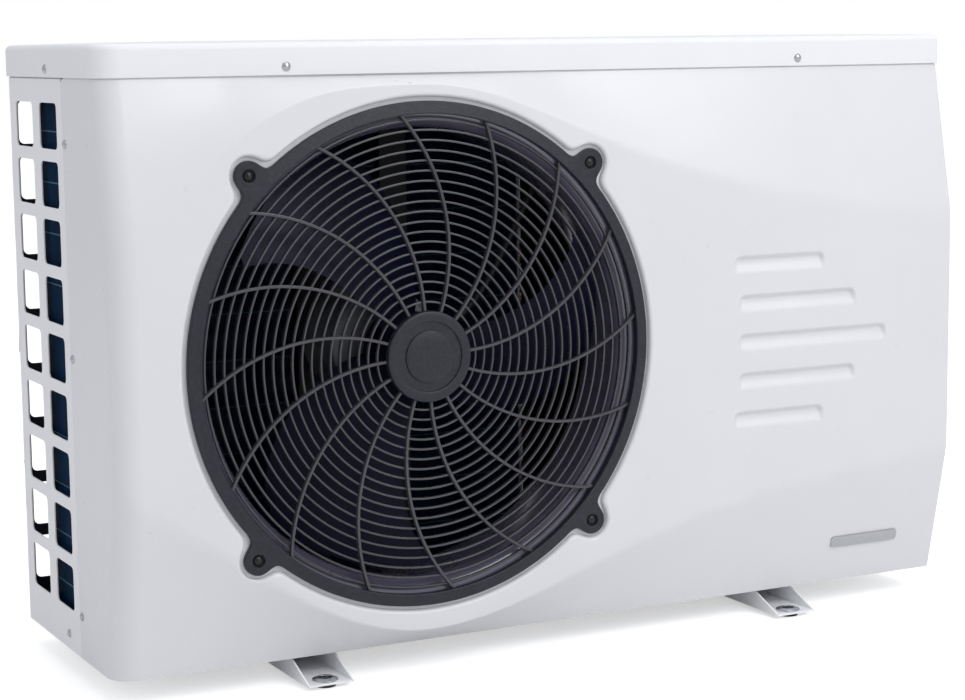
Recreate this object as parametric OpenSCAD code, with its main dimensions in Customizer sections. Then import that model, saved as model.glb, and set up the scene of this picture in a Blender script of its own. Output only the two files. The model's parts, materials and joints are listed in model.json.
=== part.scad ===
// Pool heat pump: a free-standing cabinet with a large axial fan behind a round grille on the left,
// an L-shaped air coil, and a compressor with a water heat exchanger on the right.
// X runs right, Y runs back (the front faces -Y), Z runs up. Z = 0 is the ground, and the origin is
// the centre of the four foot bolt holes. All sizes are in millimetres.

/* [Cabinet] */
// Width of the cabinet
cabinet_w = 1000; // [990:5:1030]
// Depth of the cabinet, without the raised front band and the feet
cabinet_d = 300; // [300:1:306]
// Height of the panels, between the underside of the pan and the lid
cabinet_h = 589; // [585:1:600]
// Height of the lid
lid_h = 36; // [30:1:40]
// How far the lid overhangs the panels
lid_over = 2; // [1.5:0.5:3]
// Thickness of the steel sheets
sheet = 1.5; // [1.2:0.1:1.6]
// Radius of the front left corner
corner_r = 26; // [16:1:30]

/* [Front panel] */
// Wall of the moulded front panel
shell = 3; // [2.5:0.5:3]
// How far the raised band stands in front of the cabinet
band = 32; // [28:1:34]
// Where the panel ends on the left side, measured back from the cabinet's front
wrap = 110; // [100:5:115]
// Depth of the five pressed slots
slot_depth = 1.8; // [1:0.1:2]

/* [Fan] */
// Fan centre, left of the cabinet's centre
fan_left = 168; // [160:1:175]
// Fan centre above the underside of the pan
fan_up = 304; // [300:1:308]
// Outer radius of the grille frame
grille_r = 259; // [255:1:260]
// Number of concentric bars
bars = 19; // [12:1:19]
// Number of curved spokes
spokes = 16; // [12:2:16]
// Tip radius of the blades
blade_r = 226; // [200:1:228]
// Number of blades
blades = 3; // [3:1:4]
// Angle of the blades to the fan's plane
blade_pitch = 22; // [14:1:22]

/* [Coil] */
// Gap between the coil and the guard
coil_gap = 8; // [6:1:12]
// Thickness of the fin pack
coil_t = 38; // [30:1:40]
// Outer radius of the coil's bend
coil_bend = 75; // [70:1:90]
// Number of tubes, one above the other
coil_tubes = 22; // [10:2:22]

/* [Feet] */
// Height of the foot rails
rail_h = 23; // [20:1:26]
// Width of the foot rails
rail_w = 50; // [46:1:54]
// Distance between the two rails' centre lines
rail_span = 570; // [550:5:580]
// How far the rails stand out in front and behind
rail_out = 35; // [34:1:40]
// Thickness of the rubber pad under a rail
pad_t = 4; // [3:1:5]

/* [Water side] */
// Outer radius of the pool pipe that the unions take
pool_pipe_r = 25; // [25:1:25]
// Radius of the heat exchanger
exchanger_r = 78; // [74:1:78]

/* [Hidden] */
$fn = 48;

gap = 0.2;          // space left between pieces that touch
run = 0.05;         // radial clearance of a turning or sliding fit
front_y = -cabinet_d / 2;
back_y = cabinet_d / 2;
left_x = -cabinet_w / 2;
right_x = cabinet_w / 2;
base_z = pad_t + rail_h;
mid_z = base_z + cabinet_h / 2;
top_z = base_z + cabinet_h;
lid_z = top_z + 1.5;
floor_z = base_z + sheet;
tongue_z = top_z + 18;
seam_y = front_y + wrap;
right_seam_y = front_y + 40;
band_y = front_y - band;
edge_r = 5;         // front right corner of the moulding

fan_x = -fan_left;
fan_z = base_z + fan_up;
seat_y = band_y + 6;               // floor of the recess that the grille sits in
seat_back_y = seat_y + shell;
ear_at = grille_r + 10.5;          // distance of the grille's ears from the fan's axis
frame_w = 13;
hole_r = grille_r - frame_w + 3;

partition_x = right_x - 387;
compressor = [215, 10];
comp_r = 60;
comp_top = 332;
exchanger = [350, 60];
valve_z = 425;
port_pitch = 28;
suction_z = 466;
gas_z = suction_z + 16;
liquid_z = 262;
header_y = back_y - coil_gap - coil_t / 2;
inlet_z = 120;
outlet_z = 340;
panel_out = right_x + 4;           // where the water fittings start outside the side panel

// ---------------------------------------------------------------- helpers

// Child's +Z points to the front and its +Y points up
module facing(x, y, z) translate([x, y, z]) rotate([90, 0, 0]) children();

// Child's +Z points to the right
module rightward(x, y, z) translate([x, y, z]) rotate([0, 90, 0]) children();

// Child's +Z points to the left
module leftward(x, y, z) translate([x, y, z]) rotate([0, -90, 0]) children();

// Outline drawn as (Y, Z), extruded to the right by t from x
module side_plate(x, t) translate([x, 0, 0]) rotate([90, 0, 90]) linear_extrude(t) children();

// Outline drawn as (X, Z), extruded to the front by t from y
module back_plate(y, t) translate([0, y, 0]) rotate([90, 0, 0]) linear_extrude(t) children();

module block(low, high) translate(low) cube(high - low);

module tube(r_out, r_in, h) {
    difference() {
        cylinder(h = h, r = r_out);
        translate([0, 0, -1]) cylinder(h = h + 2, r = r_in);
    }
}

function arc_points(c, r, a0, a1, n) =
    [for (i = [0 : n]) c + r * [cos(a0 + (a1 - a0) * i / n), sin(a0 + (a1 - a0) * i / n)]];

function rounded(w, h, r, n) = concat(
    arc_points([w / 2 - r, h / 2 - r], r, 0, 90, n),
    arc_points([r - w / 2, h / 2 - r], r, 90, 180, n),
    arc_points([r - w / 2, r - h / 2], r, 180, 270, n),
    arc_points([w / 2 - r, r - h / 2], r, 270, 360, n));

// Plan of the cabinet, grown outwards (or inwards when negative); its rear corners are folds
function plan_points(grow) = let (w = cabinet_w / 2 + grow, d = cabinet_d / 2 + grow,
    big = corner_r + grow, small = max(edge_r + grow, 1), fold = max(1 + grow, 1)) concat(
    arc_points([big - w, big - d], big, 180, 270, 6),
    arc_points([w - small, small - d], small, 270, 360, 3),
    arc_points([w - fold, d - fold], fold, 0, 90, 3),
    arc_points([fold - w, d - fold], fold, 90, 180, 3));

// Domed screw along +Z: the head's base is at z = 0 and the shank runs down
module domed_screw(head_r, head_h, shank_r, shank_l) {
    dome_r = (head_r * head_r + head_h * head_h) / (2 * head_h);
    intersection() {
        translate([0, 0, head_h - dome_r]) sphere(r = dome_r);
        cylinder(h = head_h + 1, r = head_r);
    }
    translate([0, 0, -shank_l]) cylinder(h = shank_l + 0.5, r = shank_r);
}

// Hex bolt along +Z: the head's base is at z = 0 and the shank runs down
module hex_bolt(head_r, head_h, shank_r, shank_l) {
    cylinder(h = head_h, r = head_r, $fn = 6);
    translate([0, 0, -shank_l]) cylinder(h = shank_l + 0.5, r = shank_r);
}

function unit(v) = v / norm(v);
function across(d) = abs(d[0]) > 0.5 ? [0, 1, 0] : [1, 0, 0];

// Places children so that their X, Y and Z run along a, b and c from p
module on_axes(p, a, b, c) multmatrix([
    [a[0], b[0], c[0], p[0]],
    [a[1], b[1], c[1], p[1]],
    [a[2], b[2], c[2], p[2]],
    [0, 0, 0, 1]]) children();

// Bent tube through points whose legs run along the axes
module pipe(points, r, wall, bend) {
    last = len(points) - 1;
    for (i = [0 : last - 1]) {
        d = unit(points[i + 1] - points[i]);
        start = points[i] + (i > 0 ? bend : 0) * d;
        end = points[i + 1] - (i < last - 1 ? bend : 0) * d;
        on_axes(start, across(d), cross(d, across(d)), d)
            linear_extrude(norm(end - start)) ring(r, r - wall);
    }
    for (i = [1 : 1 : last - 1]) {
        d_in = unit(points[i] - points[i - 1]);
        d_out = unit(points[i + 1] - points[i]);
        on_axes(points[i] + bend * (d_out - d_in), -d_out, d_in, cross(-d_out, d_in))
            rotate_extrude(angle = 90) translate([bend, 0]) ring(r, r - wall);
    }
}

module ring(r_out, r_in) {
    difference() {
        circle(r = r_out);
        circle(r = r_in);
    }
}

// Round bar swept through a list of points
function heading(p, i) = unit(p[min(i + 1, len(p) - 1)] - p[max(i - 1, 0)]);
function bar_ring(p, i, r, n, up) = let (t = heading(p, i), u = unit(cross(up, t)), v = cross(t, u))
    [for (k = [0 : n - 1]) p[i] + r * (cos(360 * k / n) * u + sin(360 * k / n) * v)];
module swept(p, r, n, up) {
    m = len(p);
    points = [for (i = [0 : m - 1]) each bar_ring(p, i, r, n, up)];
    sides = [for (i = [0 : m - 2], k = [0 : n - 1])
        let (a = i * n + k, b = i * n + (k + 1) % n) each [[a, a + n, b + n], [a, b + n, b]]];
    ends = [[for (k = [0 : n - 1]) k], [for (k = [0 : n - 1]) m * n - 1 - k]];
    polyhedron(points = points, faces = concat(sides, ends));
}

// Cubic curve between two points with two guide points
function curve(a, b, c, d, n) = [for (i = [0 : n]) let (t = i / n, s = 1 - t)
    s * s * s * a + 3 * s * s * t * b + 3 * s * t * t * c + t * t * t * d];

// ---------------------------------------------------------------- feet and pan

module foot_rail(x) {
    z0 = pad_t + gap;
    z1 = base_z - gap;
    end_y = back_y + rail_out;
    slope_y = back_y - 17;
    color("gainsboro") translate([x, 0, 0]) {
        difference() {
            block([-rail_w / 2, -end_y, z0], [rail_w / 2, end_y, z0 + 2]);
            for (s = [-1, 1]) translate([0, s * foot_hole_y, 0]) cylinder(h = 20, r = foot_hole_r);
        }
        for (side = [-rail_w / 2, rail_w / 2 - 2]) side_plate(side, 2) polygon([
            [-end_y, z0], [end_y, z0], [end_y, z0 + 2], [slope_y, z1], [-slope_y, z1], [-end_y, z0 + 2]]);
        difference() {
            for (s = [-1, 1]) block(
                [s > 0 ? rail_w / 2 - 1 : -rail_w / 2 - 14, -120, z1 - 2],
                [s > 0 ? rail_w / 2 + 14 : 1 - rail_w / 2, 120, z1]);
            for (p = rail_bolt_points) translate([p[0], p[1], 0]) cylinder(h = 40, r = 3.2);
        }
    }
}

foot_hole_y = back_y + rail_out - 16;
foot_hole_r = 8;
foot_bolt_r = 5.5;
rail_bolt_points = [for (x = [-1, 1], y = [-1, 1]) [x * (rail_w / 2 + 7), y * 105]];

module foot_rail_left() foot_rail(-rail_span / 2);
module foot_rail_right() foot_rail(rail_span / 2);

// Places children at the four foot holes
module at_feet() for (x = [-1, 1], y = [-1, 1]) translate([x * rail_span / 2, y * foot_hole_y, 0]) children();

module rubber_feet() {
    color("dimgray") at_feet() difference() {
        union() {
            cylinder(h = pad_t, r = 11);
            cylinder(h = pad_t + 1.8, r = foot_hole_r - 0.4);
        }
        translate([0, 0, -1]) cylinder(h = 20, r = foot_bolt_r);
    }
}

// Dished washers round the foot holes, on top of the rails
module foot_washers() {
    color("silver") at_feet() translate([0, 0, pad_t + 2 + 2 * gap])
        rotate_extrude() polygon([[foot_bolt_r + 1, 0], [13.5, 0], [13.5, 0.8], [9, 2.6], [foot_bolt_r + 1, 2.6]]);
}

module rail_bolts() {
    color("silver") for (x = [-1, 1], p = rail_bolt_points)
        translate([x * rail_span / 2 + p[0], p[1], floor_z + gap]) hex_bolt(5.5, 4, 3, 8);
}

drain_at = [-100, 60];
pan_screw_z = base_z + 17;

module base_pan() {
    color("whitesmoke") difference() {
        union() {
            translate([0, 0, base_z]) linear_extrude(sheet) polygon(plan_points(-4));
            translate([0, 0, base_z]) linear_extrude(22) difference() {
                polygon(plan_points(-4));
                polygon(plan_points(-4 - sheet));
            }
        }
        for (x = [-1, 1], p = rail_bolt_points)
            translate([x * rail_span / 2 + p[0], p[1], 0]) cylinder(h = 60, r = 3.3);
        for (a = [90, 210, 330]) translate(compressor_foot(a)) cylinder(h = 60, r = 4.3);
        translate([drain_at[0], drain_at[1], 0]) cylinder(h = 60, r = 9);
        rightward(left_x - 5, 0, pan_screw_z) cylinder(h = 20, r = 2.4);
        rightward(right_x - 15, 0, pan_screw_z) cylinder(h = 20, r = 2.4);
    }
}

// ---------------------------------------------------------------- front panel

// Half height of the band at a distance d right of the fan's axis: a bell on the left, a long
// tail on the right. shape = [height at the fan, left base, left width, left power, right base, right width]
upper_edge = [285, 40, 316, 3.35, 95, 310];
lower_edge = [275, 30, 304, 2.04, 120, 300];
function half_band(d, shape) = d < 0
    ? shape[1] + (shape[0] - shape[1]) * exp(-pow(-d / shape[2], shape[3]))
    : shape[4] + (shape[0] - shape[4]) / (1 + pow(d / shape[5], 2));
function band_levels(x) = [base_z, mid_z - half_band(x - fan_x, lower_edge),
    mid_z + half_band(x - fan_x, upper_edge), top_z];

// Plan stations of the moulding: [x, set back, follows the band, inward normal x, inward normal y]
front_steps = 34;
function stations() = concat(
    [[left_x, wrap, 0, 1, 0], [left_x, corner_r, 1, 1, 0]],
    [for (a = [15 : 15 : 90]) [left_x + corner_r * (1 - cos(a)), corner_r * (1 - sin(a)), 1, cos(a), sin(a)]],
    [for (i = [1 : front_steps])
        [left_x + corner_r + (cabinet_w - corner_r - edge_r) * i / front_steps, 0, 1, 0, 1]],
    [for (a = [30 : 30 : 90]) [right_x - edge_r * (1 - sin(a)), edge_r * (1 - cos(a)), 1, -sin(a), cos(a)]],
    [[right_x, right_seam_y - front_y, 0, -1, 0]]);
function station_points(s, inset) = let (z = band_levels(s[0])) [for (j = [0 : 3])
    [s[0] + inset * s[3], front_y + s[1] + inset * s[4] - (j == 1 || j == 2 ? band * s[2] : 0), z[j]]];

module moulding() {
    s = stations();
    m = len(s);
    points = concat([for (p = s) each station_points(p, 0)], [for (p = s) each station_points(p, shell)]);
    inner = 4 * m;
    skin = [for (i = [0 : m - 2], j = [0 : 2]) let (a = 4 * i + j)
        each [[a, a + 1, a + 5], [a, a + 5, a + 4]]];
    lining = [for (f = skin) [f[0] + inner, f[2] + inner, f[1] + inner]];
    rims = [for (i = [0 : m - 2]) let (a = 4 * i, b = 4 * i + 7) each [
        [a, a + 4, a + 4 + inner], [a, a + 4 + inner, a + inner],
        [b, b - 4, b - 4 + inner], [b, b - 4 + inner, b + inner]]];
    ends = [for (j = [0 : 2]) let (b = 4 * (m - 1) + j) each [
        [j + 1, j, j + inner], [j + 1, j + inner, j + 1 + inner],
        [b, b + 1, b + 1 + inner], [b, b + 1 + inner, b + inner]]];
    polyhedron(points = points, faces = concat(skin, lining, rims, ends));
}

// The grille's seat: a disc with four ears, r and ear_r
module seat_shape(r, ear_r, h) {
    cylinder(h = h, r = r);
    for (a = [45 : 90 : 315]) rotate(a) translate([ear_at, 0, 0]) cylinder(h = h, r = ear_r);
}

// The five pressed slots: the middle one is the longest
slot_pitch = 43;
slot_h = 22;
slot_low_z = base_z + 204;
function slot_left(i) = i == 0 || i == 4 ? 202 : 208;
function slot_right(i) = 323 + slot_pitch * (2 - abs(i - 2));

screw_side_z = [base_z + 45, base_z + 310, base_z + 525];
panel_screw_y = front_y + 103;

module front_panel() {
    color("whitesmoke") difference() {
        union() {
            moulding();
            facing(fan_x, seat_back_y, fan_z) seat_shape(grille_r + 7, 21, seat_back_y - band_y - 2);
            translate([0, 0, top_z - 2.5]) linear_extrude(2.5) panel_strip(0.5, 8);
            translate([0, 0, top_z - 2.5]) linear_extrude(tongue_z - top_z + 2.5) panel_strip(1, 3);
        }
        facing(fan_x, seat_y, fan_z) seat_shape(grille_r + 4, 18.5, 30);
        facing(fan_x, seat_y + 30, fan_z) cylinder(h = 60, r = hole_r);
        facing(fan_x, seat_y + 30, fan_z) for (a = [45 : 90 : 315])
            rotate(a) translate([ear_at, 0, 0]) cylinder(h = 60, r = 2.6);
        for (i = [0 : 4]) facing(0, band_y + slot_depth, slot_low_z + i * slot_pitch) {
            r = slot_h / 2;
            linear_extrude(20) polygon(concat(
                arc_points([slot_left(i) + r, 0], r, 90, 270, 8),
                arc_points([slot_right(i) - r, 0], r, 270, 450, 8)));
        }
        for (z = screw_side_z) {
            rightward(left_x - 1, panel_screw_y, z) cylinder(h = 10, r = 2.4);
            rightward(right_x - 9, right_seam_y - 8, z) cylinder(h = 10, r = 2.4);
        }
        for (x = lid_screw_x) facing(x, 0, lid_screw_z) cylinder(h = 200, r = 2.4);
    }
}

// Strip of the plan that follows the moulding, between two insets
module panel_strip(from, to) {
    intersection() {
        difference() {
            polygon(plan_points(-from));
            polygon(plan_points(-to));
        }
        union() {
            translate([left_x, front_y]) square([400, wrap]);
            translate([left_x + 300, front_y]) square([cabinet_w - 300, right_seam_y - front_y]);
        }
    }
}

module badge() {
    // It lies on the lower slope of the moulding, whose lean depends on the band's height there
    x = 395;
    z = base_z + 48;
    lower = band_levels(x)[1] - base_z;
    lean = atan(band / lower);
    color("silver") translate([x, front_y - band * (z - base_z) / lower - 0.6, z])
        rotate([90 + lean, 0, 0]) linear_extrude(1.2) polygon(rounded(92, 13, 3, 3));
}

// ---------------------------------------------------------------- sheet panels and lid

guard_opening = [60, 46.5];
column_pitch = 85.5;
row_pitch = 59.3;
side_columns = [front_y + 159.2, front_y + 244];
guard_rows = 9;
guard_columns = 7;

module guard_openings(centres) {
    for (c = centres, i = [0 : guard_rows - 1])
        translate([c, base_z + 67.3 + i * row_pitch])
            polygon(rounded(guard_opening[0], guard_opening[1], 6, 3));
}

lid_screw_x = [-305, 305];
lid_screw_z = top_z + 10;
lid_side_y = front_y + 156;
guard_right_x = partition_x + 2;

module coil_guard() {
    front = seam_y + 0.5;
    color("whitesmoke") difference() {
        union() {
            side_plate(left_x, sheet) difference() {
                translate([front, base_z]) square([back_y - front, tongue_z - base_z]);
                guard_openings(side_columns);
            }
            back_plate(back_y, sheet) difference() {
                translate([left_x, base_z]) square([guard_right_x - left_x, tongue_z - base_z]);
                guard_openings([for (k = [0 : guard_columns - 1]) left_x + 39 + k * column_pitch]);
            }
            block([left_x, front, base_z + 30], [left_x + shell + 1.6, front + sheet, top_z - 20]);
            block([left_x + shell + gap, front - 22, base_z + 30],
                [left_x + shell + 1.6, front + sheet, top_z - 20]);
        }
        for (z = screw_side_z) rightward(left_x - 1, panel_screw_y, z) cylinder(h = 10, r = 2.2);
        rightward(left_x - 5, 0, pan_screw_z) cylinder(h = 20, r = 2.4);
        rightward(left_x - 1, lid_side_y, lid_screw_z) cylinder(h = 10, r = 2.2);
        facing(lid_screw_x[0], back_y + 10, lid_screw_z) cylinder(h = 20, r = 2.2);
    }
}

handle_at = [85, top_z - 90];     // centre of the side handle as (y, z)
handle_size = [100, 40];
cover_at = [-35, top_z - 150];    // centre of the wiring cover as (y, z)
cover_size = [120, 170];
gland_at = [cover_at[0], cover_at[1] - 115];
water_y = exchanger[1];

module right_side_panel() {
    front = right_seam_y + 0.5;
    inner = right_x - shell - 1.6;
    color("whitesmoke") difference() {
        union() {
            side_plate(right_x - sheet, sheet)
                translate([front, base_z]) square([back_y - front, tongue_z - base_z]);
            block([inner, front, base_z + 30], [right_x, front + sheet, top_z - 20]);
            block([inner, front - 20, base_z + 30], [inner + 1.4, front + sheet, top_z - 20]);
        }
        for (z = [inlet_z, outlet_z]) rightward(right_x - 5, water_y, z) cylinder(h = 10, r = 27);
        side_plate(right_x - 5, 10) translate(handle_at) square(handle_size - [12, 12], center = true);
        side_plate(right_x - 5, 10) translate(cover_at) square(cover_size - [40, 50], center = true);
        for (p = cover_screws()) rightward(right_x - 5, p[0], p[1]) cylinder(h = 10, r = 2.1);
        rightward(right_x - 5, gland_at[0], gland_at[1]) cylinder(h = 10, r = 10.2);
        for (z = screw_side_z) rightward(right_x - 9, right_seam_y - 8, z) cylinder(h = 10, r = 2.2);
        rightward(right_x - 5, 0, pan_screw_z) cylinder(h = 20, r = 2.4);
        rightward(right_x - 5, lid_side_y, lid_screw_z) cylinder(h = 10, r = 2.2);
        for (z = screw_side_z) rightward(right_x - 5, back_y - 12, z) cylinder(h = 10, r = 2.2);
    }
}

louvre_z = [for (i = [0 : 5]) base_z + 90 + 28 * i];

module back_panel() {
    left = guard_right_x + 0.5;
    right = right_x - sheet - gap;
    color("whitesmoke") difference() {
        union() {
            back_plate(back_y, sheet) translate([left, base_z]) square([right - left, tongue_z - base_z]);
            block([right - sheet, back_y - 22, base_z + 25], [right, back_y, top_z - 20]);
        }
        for (z = screw_side_z) rightward(right_x - 5, back_y - 12, z) cylinder(h = 10, r = 2.2, center = true);
        for (z = louvre_z) facing((left + right) / 2, back_y + 5, z)
            linear_extrude(10) polygon(rounded(150, 9, 4, 3));
        facing(lid_screw_x[1], back_y + 10, lid_screw_z) cylinder(h = 20, r = 2.2);
    }
}

module top_lid() {
    color("white") difference() {
        translate([0, 0, lid_z]) linear_extrude(lid_h - 1.5) polygon(plan_points(lid_over));
        translate([0, 0, lid_z - 1]) linear_extrude(lid_h - 1.5 - sheet + 1)
            polygon(plan_points(lid_over - sheet));
        for (x = lid_screw_x) facing(x, 200, lid_screw_z) cylinder(h = 400, r = 2.4);
        rightward(left_x - 50, lid_side_y, lid_screw_z) cylinder(h = cabinet_w + 100, r = 2.4);
    }
}

module partition_plate() {
    color("lightgray") difference() {
        union() {
            block([partition_x, front_y + 12, floor_z + gap], [partition_x + sheet, back_y - 6, top_z - 4]);
            block([partition_x, front_y + 12, floor_z + gap], [partition_x + 15, back_y - 8, floor_z + gap + sheet]);
        }
        for (i = [0, coil_tubes - 1]) rightward(partition_x - 5, header_y, tube_z(i)) cylinder(h = 12, r = 9);
        rightward(partition_x - 5, -40, 560) cylinder(h = 12, r = 10);
    }
}

function cover_screws() = [for (s = [-1, 1]) cover_at + [s * (cover_size[0] / 2 - 7), 0]];

module cabinet_screw() domed_screw(4.8, 2.4, 2, 7);

// The same domed screw holds the panels and the lid; all heads point outwards
module cabinet_screws() {
    lid_out = lid_over + gap;
    color("silver") {
        for (z = screw_side_z) {
            leftward(left_x - gap, panel_screw_y, z) cabinet_screw();
            rightward(right_x + gap, right_seam_y - 8, z) cabinet_screw();
            rightward(right_x + gap, back_y - 12, z) cabinet_screw();
        }
        leftward(left_x - gap, 0, pan_screw_z) cabinet_screw();
        rightward(right_x + gap, 0, pan_screw_z) cabinet_screw();
        leftward(left_x - lid_out, lid_side_y, lid_screw_z) cabinet_screw();
        rightward(right_x + lid_out, lid_side_y, lid_screw_z) cabinet_screw();
        for (x = lid_screw_x) {
            facing(x, front_y - lid_out, lid_screw_z) cabinet_screw();
            facing(x, back_y + lid_out, lid_screw_z) rotate([180, 0, 0]) cabinet_screw();
        }
    }
}

module side_handle() {
    cup = handle_size - [14, 14];
    color("dimgray") difference() {
        union() {
            side_plate(right_x + gap, 3) translate(handle_at) polygon(rounded(handle_size[0], handle_size[1], 8, 4));
            side_plate(right_x - 24, 25) translate(handle_at) square(cup, center = true);
        }
        side_plate(right_x - 22, 40) translate(handle_at) square(cup - [4, 4], center = true);
    }
}

module wiring_cover() {
    color("whitesmoke") difference() {
        side_plate(right_x + gap, 28) translate(cover_at) polygon(rounded(cover_size[0], cover_size[1], 8, 4));
        side_plate(right_x, 26) translate(cover_at) polygon(rounded(cover_size[0] - 30, cover_size[1] - 6, 6, 4));
        for (p = cover_screws()) {
            rightward(right_x - 5, p[0], p[1]) cylinder(h = 40, r = 2.1);
            rightward(right_x + 6, p[0], p[1]) cylinder(h = 40, r = 5);
        }
    }
    color("silver") for (p = cover_screws()) rightward(right_x + 6 + gap, p[0], p[1]) domed_screw(4, 2.2, 1.9, 12);
}

// Cable gland: body through the panel, with a nut inside, bored for the supply cable
gland_bore_r = 6;
module cable_gland() {
    color("dimgray") difference() {
        union() {
            rightward(right_x - 12, gland_at[0], gland_at[1]) cylinder(h = 20, r = 10);
            rightward(right_x + gap, gland_at[0], gland_at[1]) cylinder(h = 8, r = 14, $fn = 6);
            rightward(right_x + 8, gland_at[0], gland_at[1]) cylinder(h = 16, r = 12);
            rightward(right_x - sheet - gap - 6, gland_at[0], gland_at[1]) cylinder(h = 6, r = 14, $fn = 6);
        }
        rightward(right_x - 20, gland_at[0], gland_at[1]) cylinder(h = 60, r = gland_bore_r);
    }
}

// ---------------------------------------------------------------- grille, shroud and fan

// A spoke is an arc whose centre lies off the fan's axis
spoke_r = 203;
spoke_c = [-177, 109];
hub_r = 47;
bar_pitch = 10.25;
bar_0 = 55.5;
module spoke(h) {
    away = norm(spoke_c);
    function swing(r) = acos((away * away + spoke_r * spoke_r - r * r) / (2 * away * spoke_r));
    toward = atan2(-spoke_c[1], -spoke_c[0]);
    translate(spoke_c) rotate(toward + swing(hub_r - 4))
        rotate_extrude(angle = swing(grille_r - frame_w + 2) - swing(hub_r - 4), $fn = 96)
            translate([spoke_r - 1.5, 0]) square([3, h]);
}

module fan_grille() {
    back = seat_y - gap;
    color([0.13, 0.13, 0.14]) {
        facing(fan_x, back, fan_z) difference() {
            union() {
                cylinder(h = 8, r = grille_r, $fn = 96);
                for (a = [45 : 90 : 315]) rotate(a) translate([ear_at, 0, 0]) cylinder(h = 7, r = 15);
            }
            translate([0, 0, -1]) cylinder(h = 10, r = grille_r - frame_w, $fn = 96);
            for (a = [45 : 90 : 315]) rotate(a) translate([ear_at, 0, 0]) {
                translate([0, 0, -1]) cylinder(h = 10, r = 2.6);
                translate([0, 0, 3]) cylinder(h = 10, r = 6.5);
            }
        }
        facing(fan_x, back - 1, fan_z) for (k = [0 : spokes - 1]) rotate(k * 360 / spokes) spoke(5);
        facing(fan_x, back - 3, fan_z) for (k = [0 : bars - 1])
            tube(bar_0 + k * bar_pitch + 1.1, bar_0 + k * bar_pitch - 1.1, 4, $fn = 96);
        facing(fan_x, back - 0.5, fan_z) difference() {
            cylinder(h = 8, r = hub_r);
            translate([0, 0, 7]) tube(36, 27, 2);
        }
    }
}

module grille_screws() {
    color([0.08, 0.08, 0.08]) facing(fan_x, seat_y - 3 - 2 * gap, fan_z) for (a = [45 : 90 : 315])
        rotate(a) translate([ear_at, 0, 0]) domed_screw(5.5, 3, 2.3, 14);
}

throat_r = blade_r + 6;
module fan_shroud() {
    color([0.32, 0.30, 0.38]) facing(fan_x, seat_back_y + gap, fan_z) difference() {
        rotate_extrude($fn = 96) polygon(concat(
            [[hole_r - 1, 0], [hole_r + 15, 0], [hole_r + 15, -2]],
            arc_points([throat_r + 18, -18], 16, 90, 180, 5),
            [[throat_r + 2, -78], [throat_r, -78]],
            arc_points([throat_r + 18, -18], 18, 180, 90, 5)));
        for (a = [45 : 90 : 315]) rotate(a) translate([ear_at, 0, -5]) cylinder(h = 10, r = 4);
    }
}

hub_front_y = front_y;
hub_l = 42;
motor_back_y = 6;
motor_l = 86;
module fan_blades() {
    color([0.1, 0.11, 0.2]) facing(fan_x, hub_front_y + hub_l, fan_z) difference() {
        union() {
            cylinder(h = hub_l, r = 42);
            intersection() {
                translate([0, 0, -40]) cylinder(h = 120, r = blade_r, $fn = 96);
                for (k = [0 : blades - 1]) rotate(k * 360 / blades) translate([0, 0, hub_l / 2])
                    rotate([blade_pitch, 0, 0]) linear_extrude(3, center = true)
                        polygon([[30, -34], [120, -66], [250, -78], [250, 84], [180, 92], [110, 70], [30, 30]]);
            }
        }
        translate([0, 0, -50]) cylinder(h = 150, r = 6.02);
    }
}

module fan_nut() {
    color("silver") facing(fan_x, hub_front_y - gap, fan_z) difference() {
        cylinder(h = 7, r = 11, $fn = 6);
        translate([0, 0, -1]) cylinder(h = 10, r = 6.02);
    }
}

module motor_housing() {
    color("darkgray") facing(fan_x, motor_back_y, fan_z) difference() {
        rotate_extrude() polygon([[8, 0], [60, 0], [60, 80], [54, motor_l], [8, motor_l], [8, 83],
            [14.02, 83], [14.02, 74], [19, 74], [19, 82], [52, 82], [55, 78], [55, 3], [19, 3],
            [19, 12], [14.02, 12], [14.02, 3], [8, 3]]);
        for (a = [45 : 90 : 315]) rotate(a) translate([57.2, 0, -1]) cylinder(h = 9, r = 2);
    }
}

module motor_bearings() {
    color("silver") facing(fan_x, motor_back_y, fan_z) for (s = [3 + gap, 74 + gap])
        translate([0, 0, s]) tube(14, 6 + run, 8.5);
}

module motor_stator() {
    color("peru") facing(fan_x, motor_back_y, fan_z) translate([0, 0, 22]) difference() {
        tube(54.9, 36.2, 42);
        for (a = [0 : 30 : 330]) rotate(a) translate([44, 0, -1]) cylinder(h = 50, r = 4.5);
    }
}

module motor_rotor() {
    color("gray") facing(fan_x, motor_back_y, fan_z) {
        translate([0, 0, 4]) cylinder(h = 164, r = 6);
        translate([0, 0, 22]) cylinder(h = 42, r = 35.6);
    }
}

module motor_bracket() {
    y = motor_back_y + gap;
    color("lightgray") difference() {
        union() {
            for (s = [-1, 1]) difference() {
                block([fan_x + s * 50 - 16, y, floor_z + gap], [fan_x + s * 50 + 16, y + 14, top_z - 6]);
                block([fan_x + s * 50 - 14, y + 2, floor_z], [fan_x + s * 50 + 14, y + 15, top_z]);
            }
            block([fan_x - 62, y, fan_z - 62], [fan_x + 62, y + 2, fan_z + 62]);
        }
        facing(fan_x, y + 5, fan_z) {
            translate([0, 0, -1]) cylinder(h = 10, r = 20);
            for (a = [45 : 90 : 315]) rotate(a) translate([57.2, 0, -20]) cylinder(h = 40, r = 2.4);
        }
    }
}

module motor_screws() {
    color("silver") facing(fan_x, motor_back_y + 2 + 2 * gap, fan_z) for (a = [45 : 90 : 315])
        rotate(a) translate([57.2, 0, 0]) rotate([180, 0, 0]) domed_screw(4, 2.5, 1.8, 8);
}

// ---------------------------------------------------------------- air coil

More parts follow.
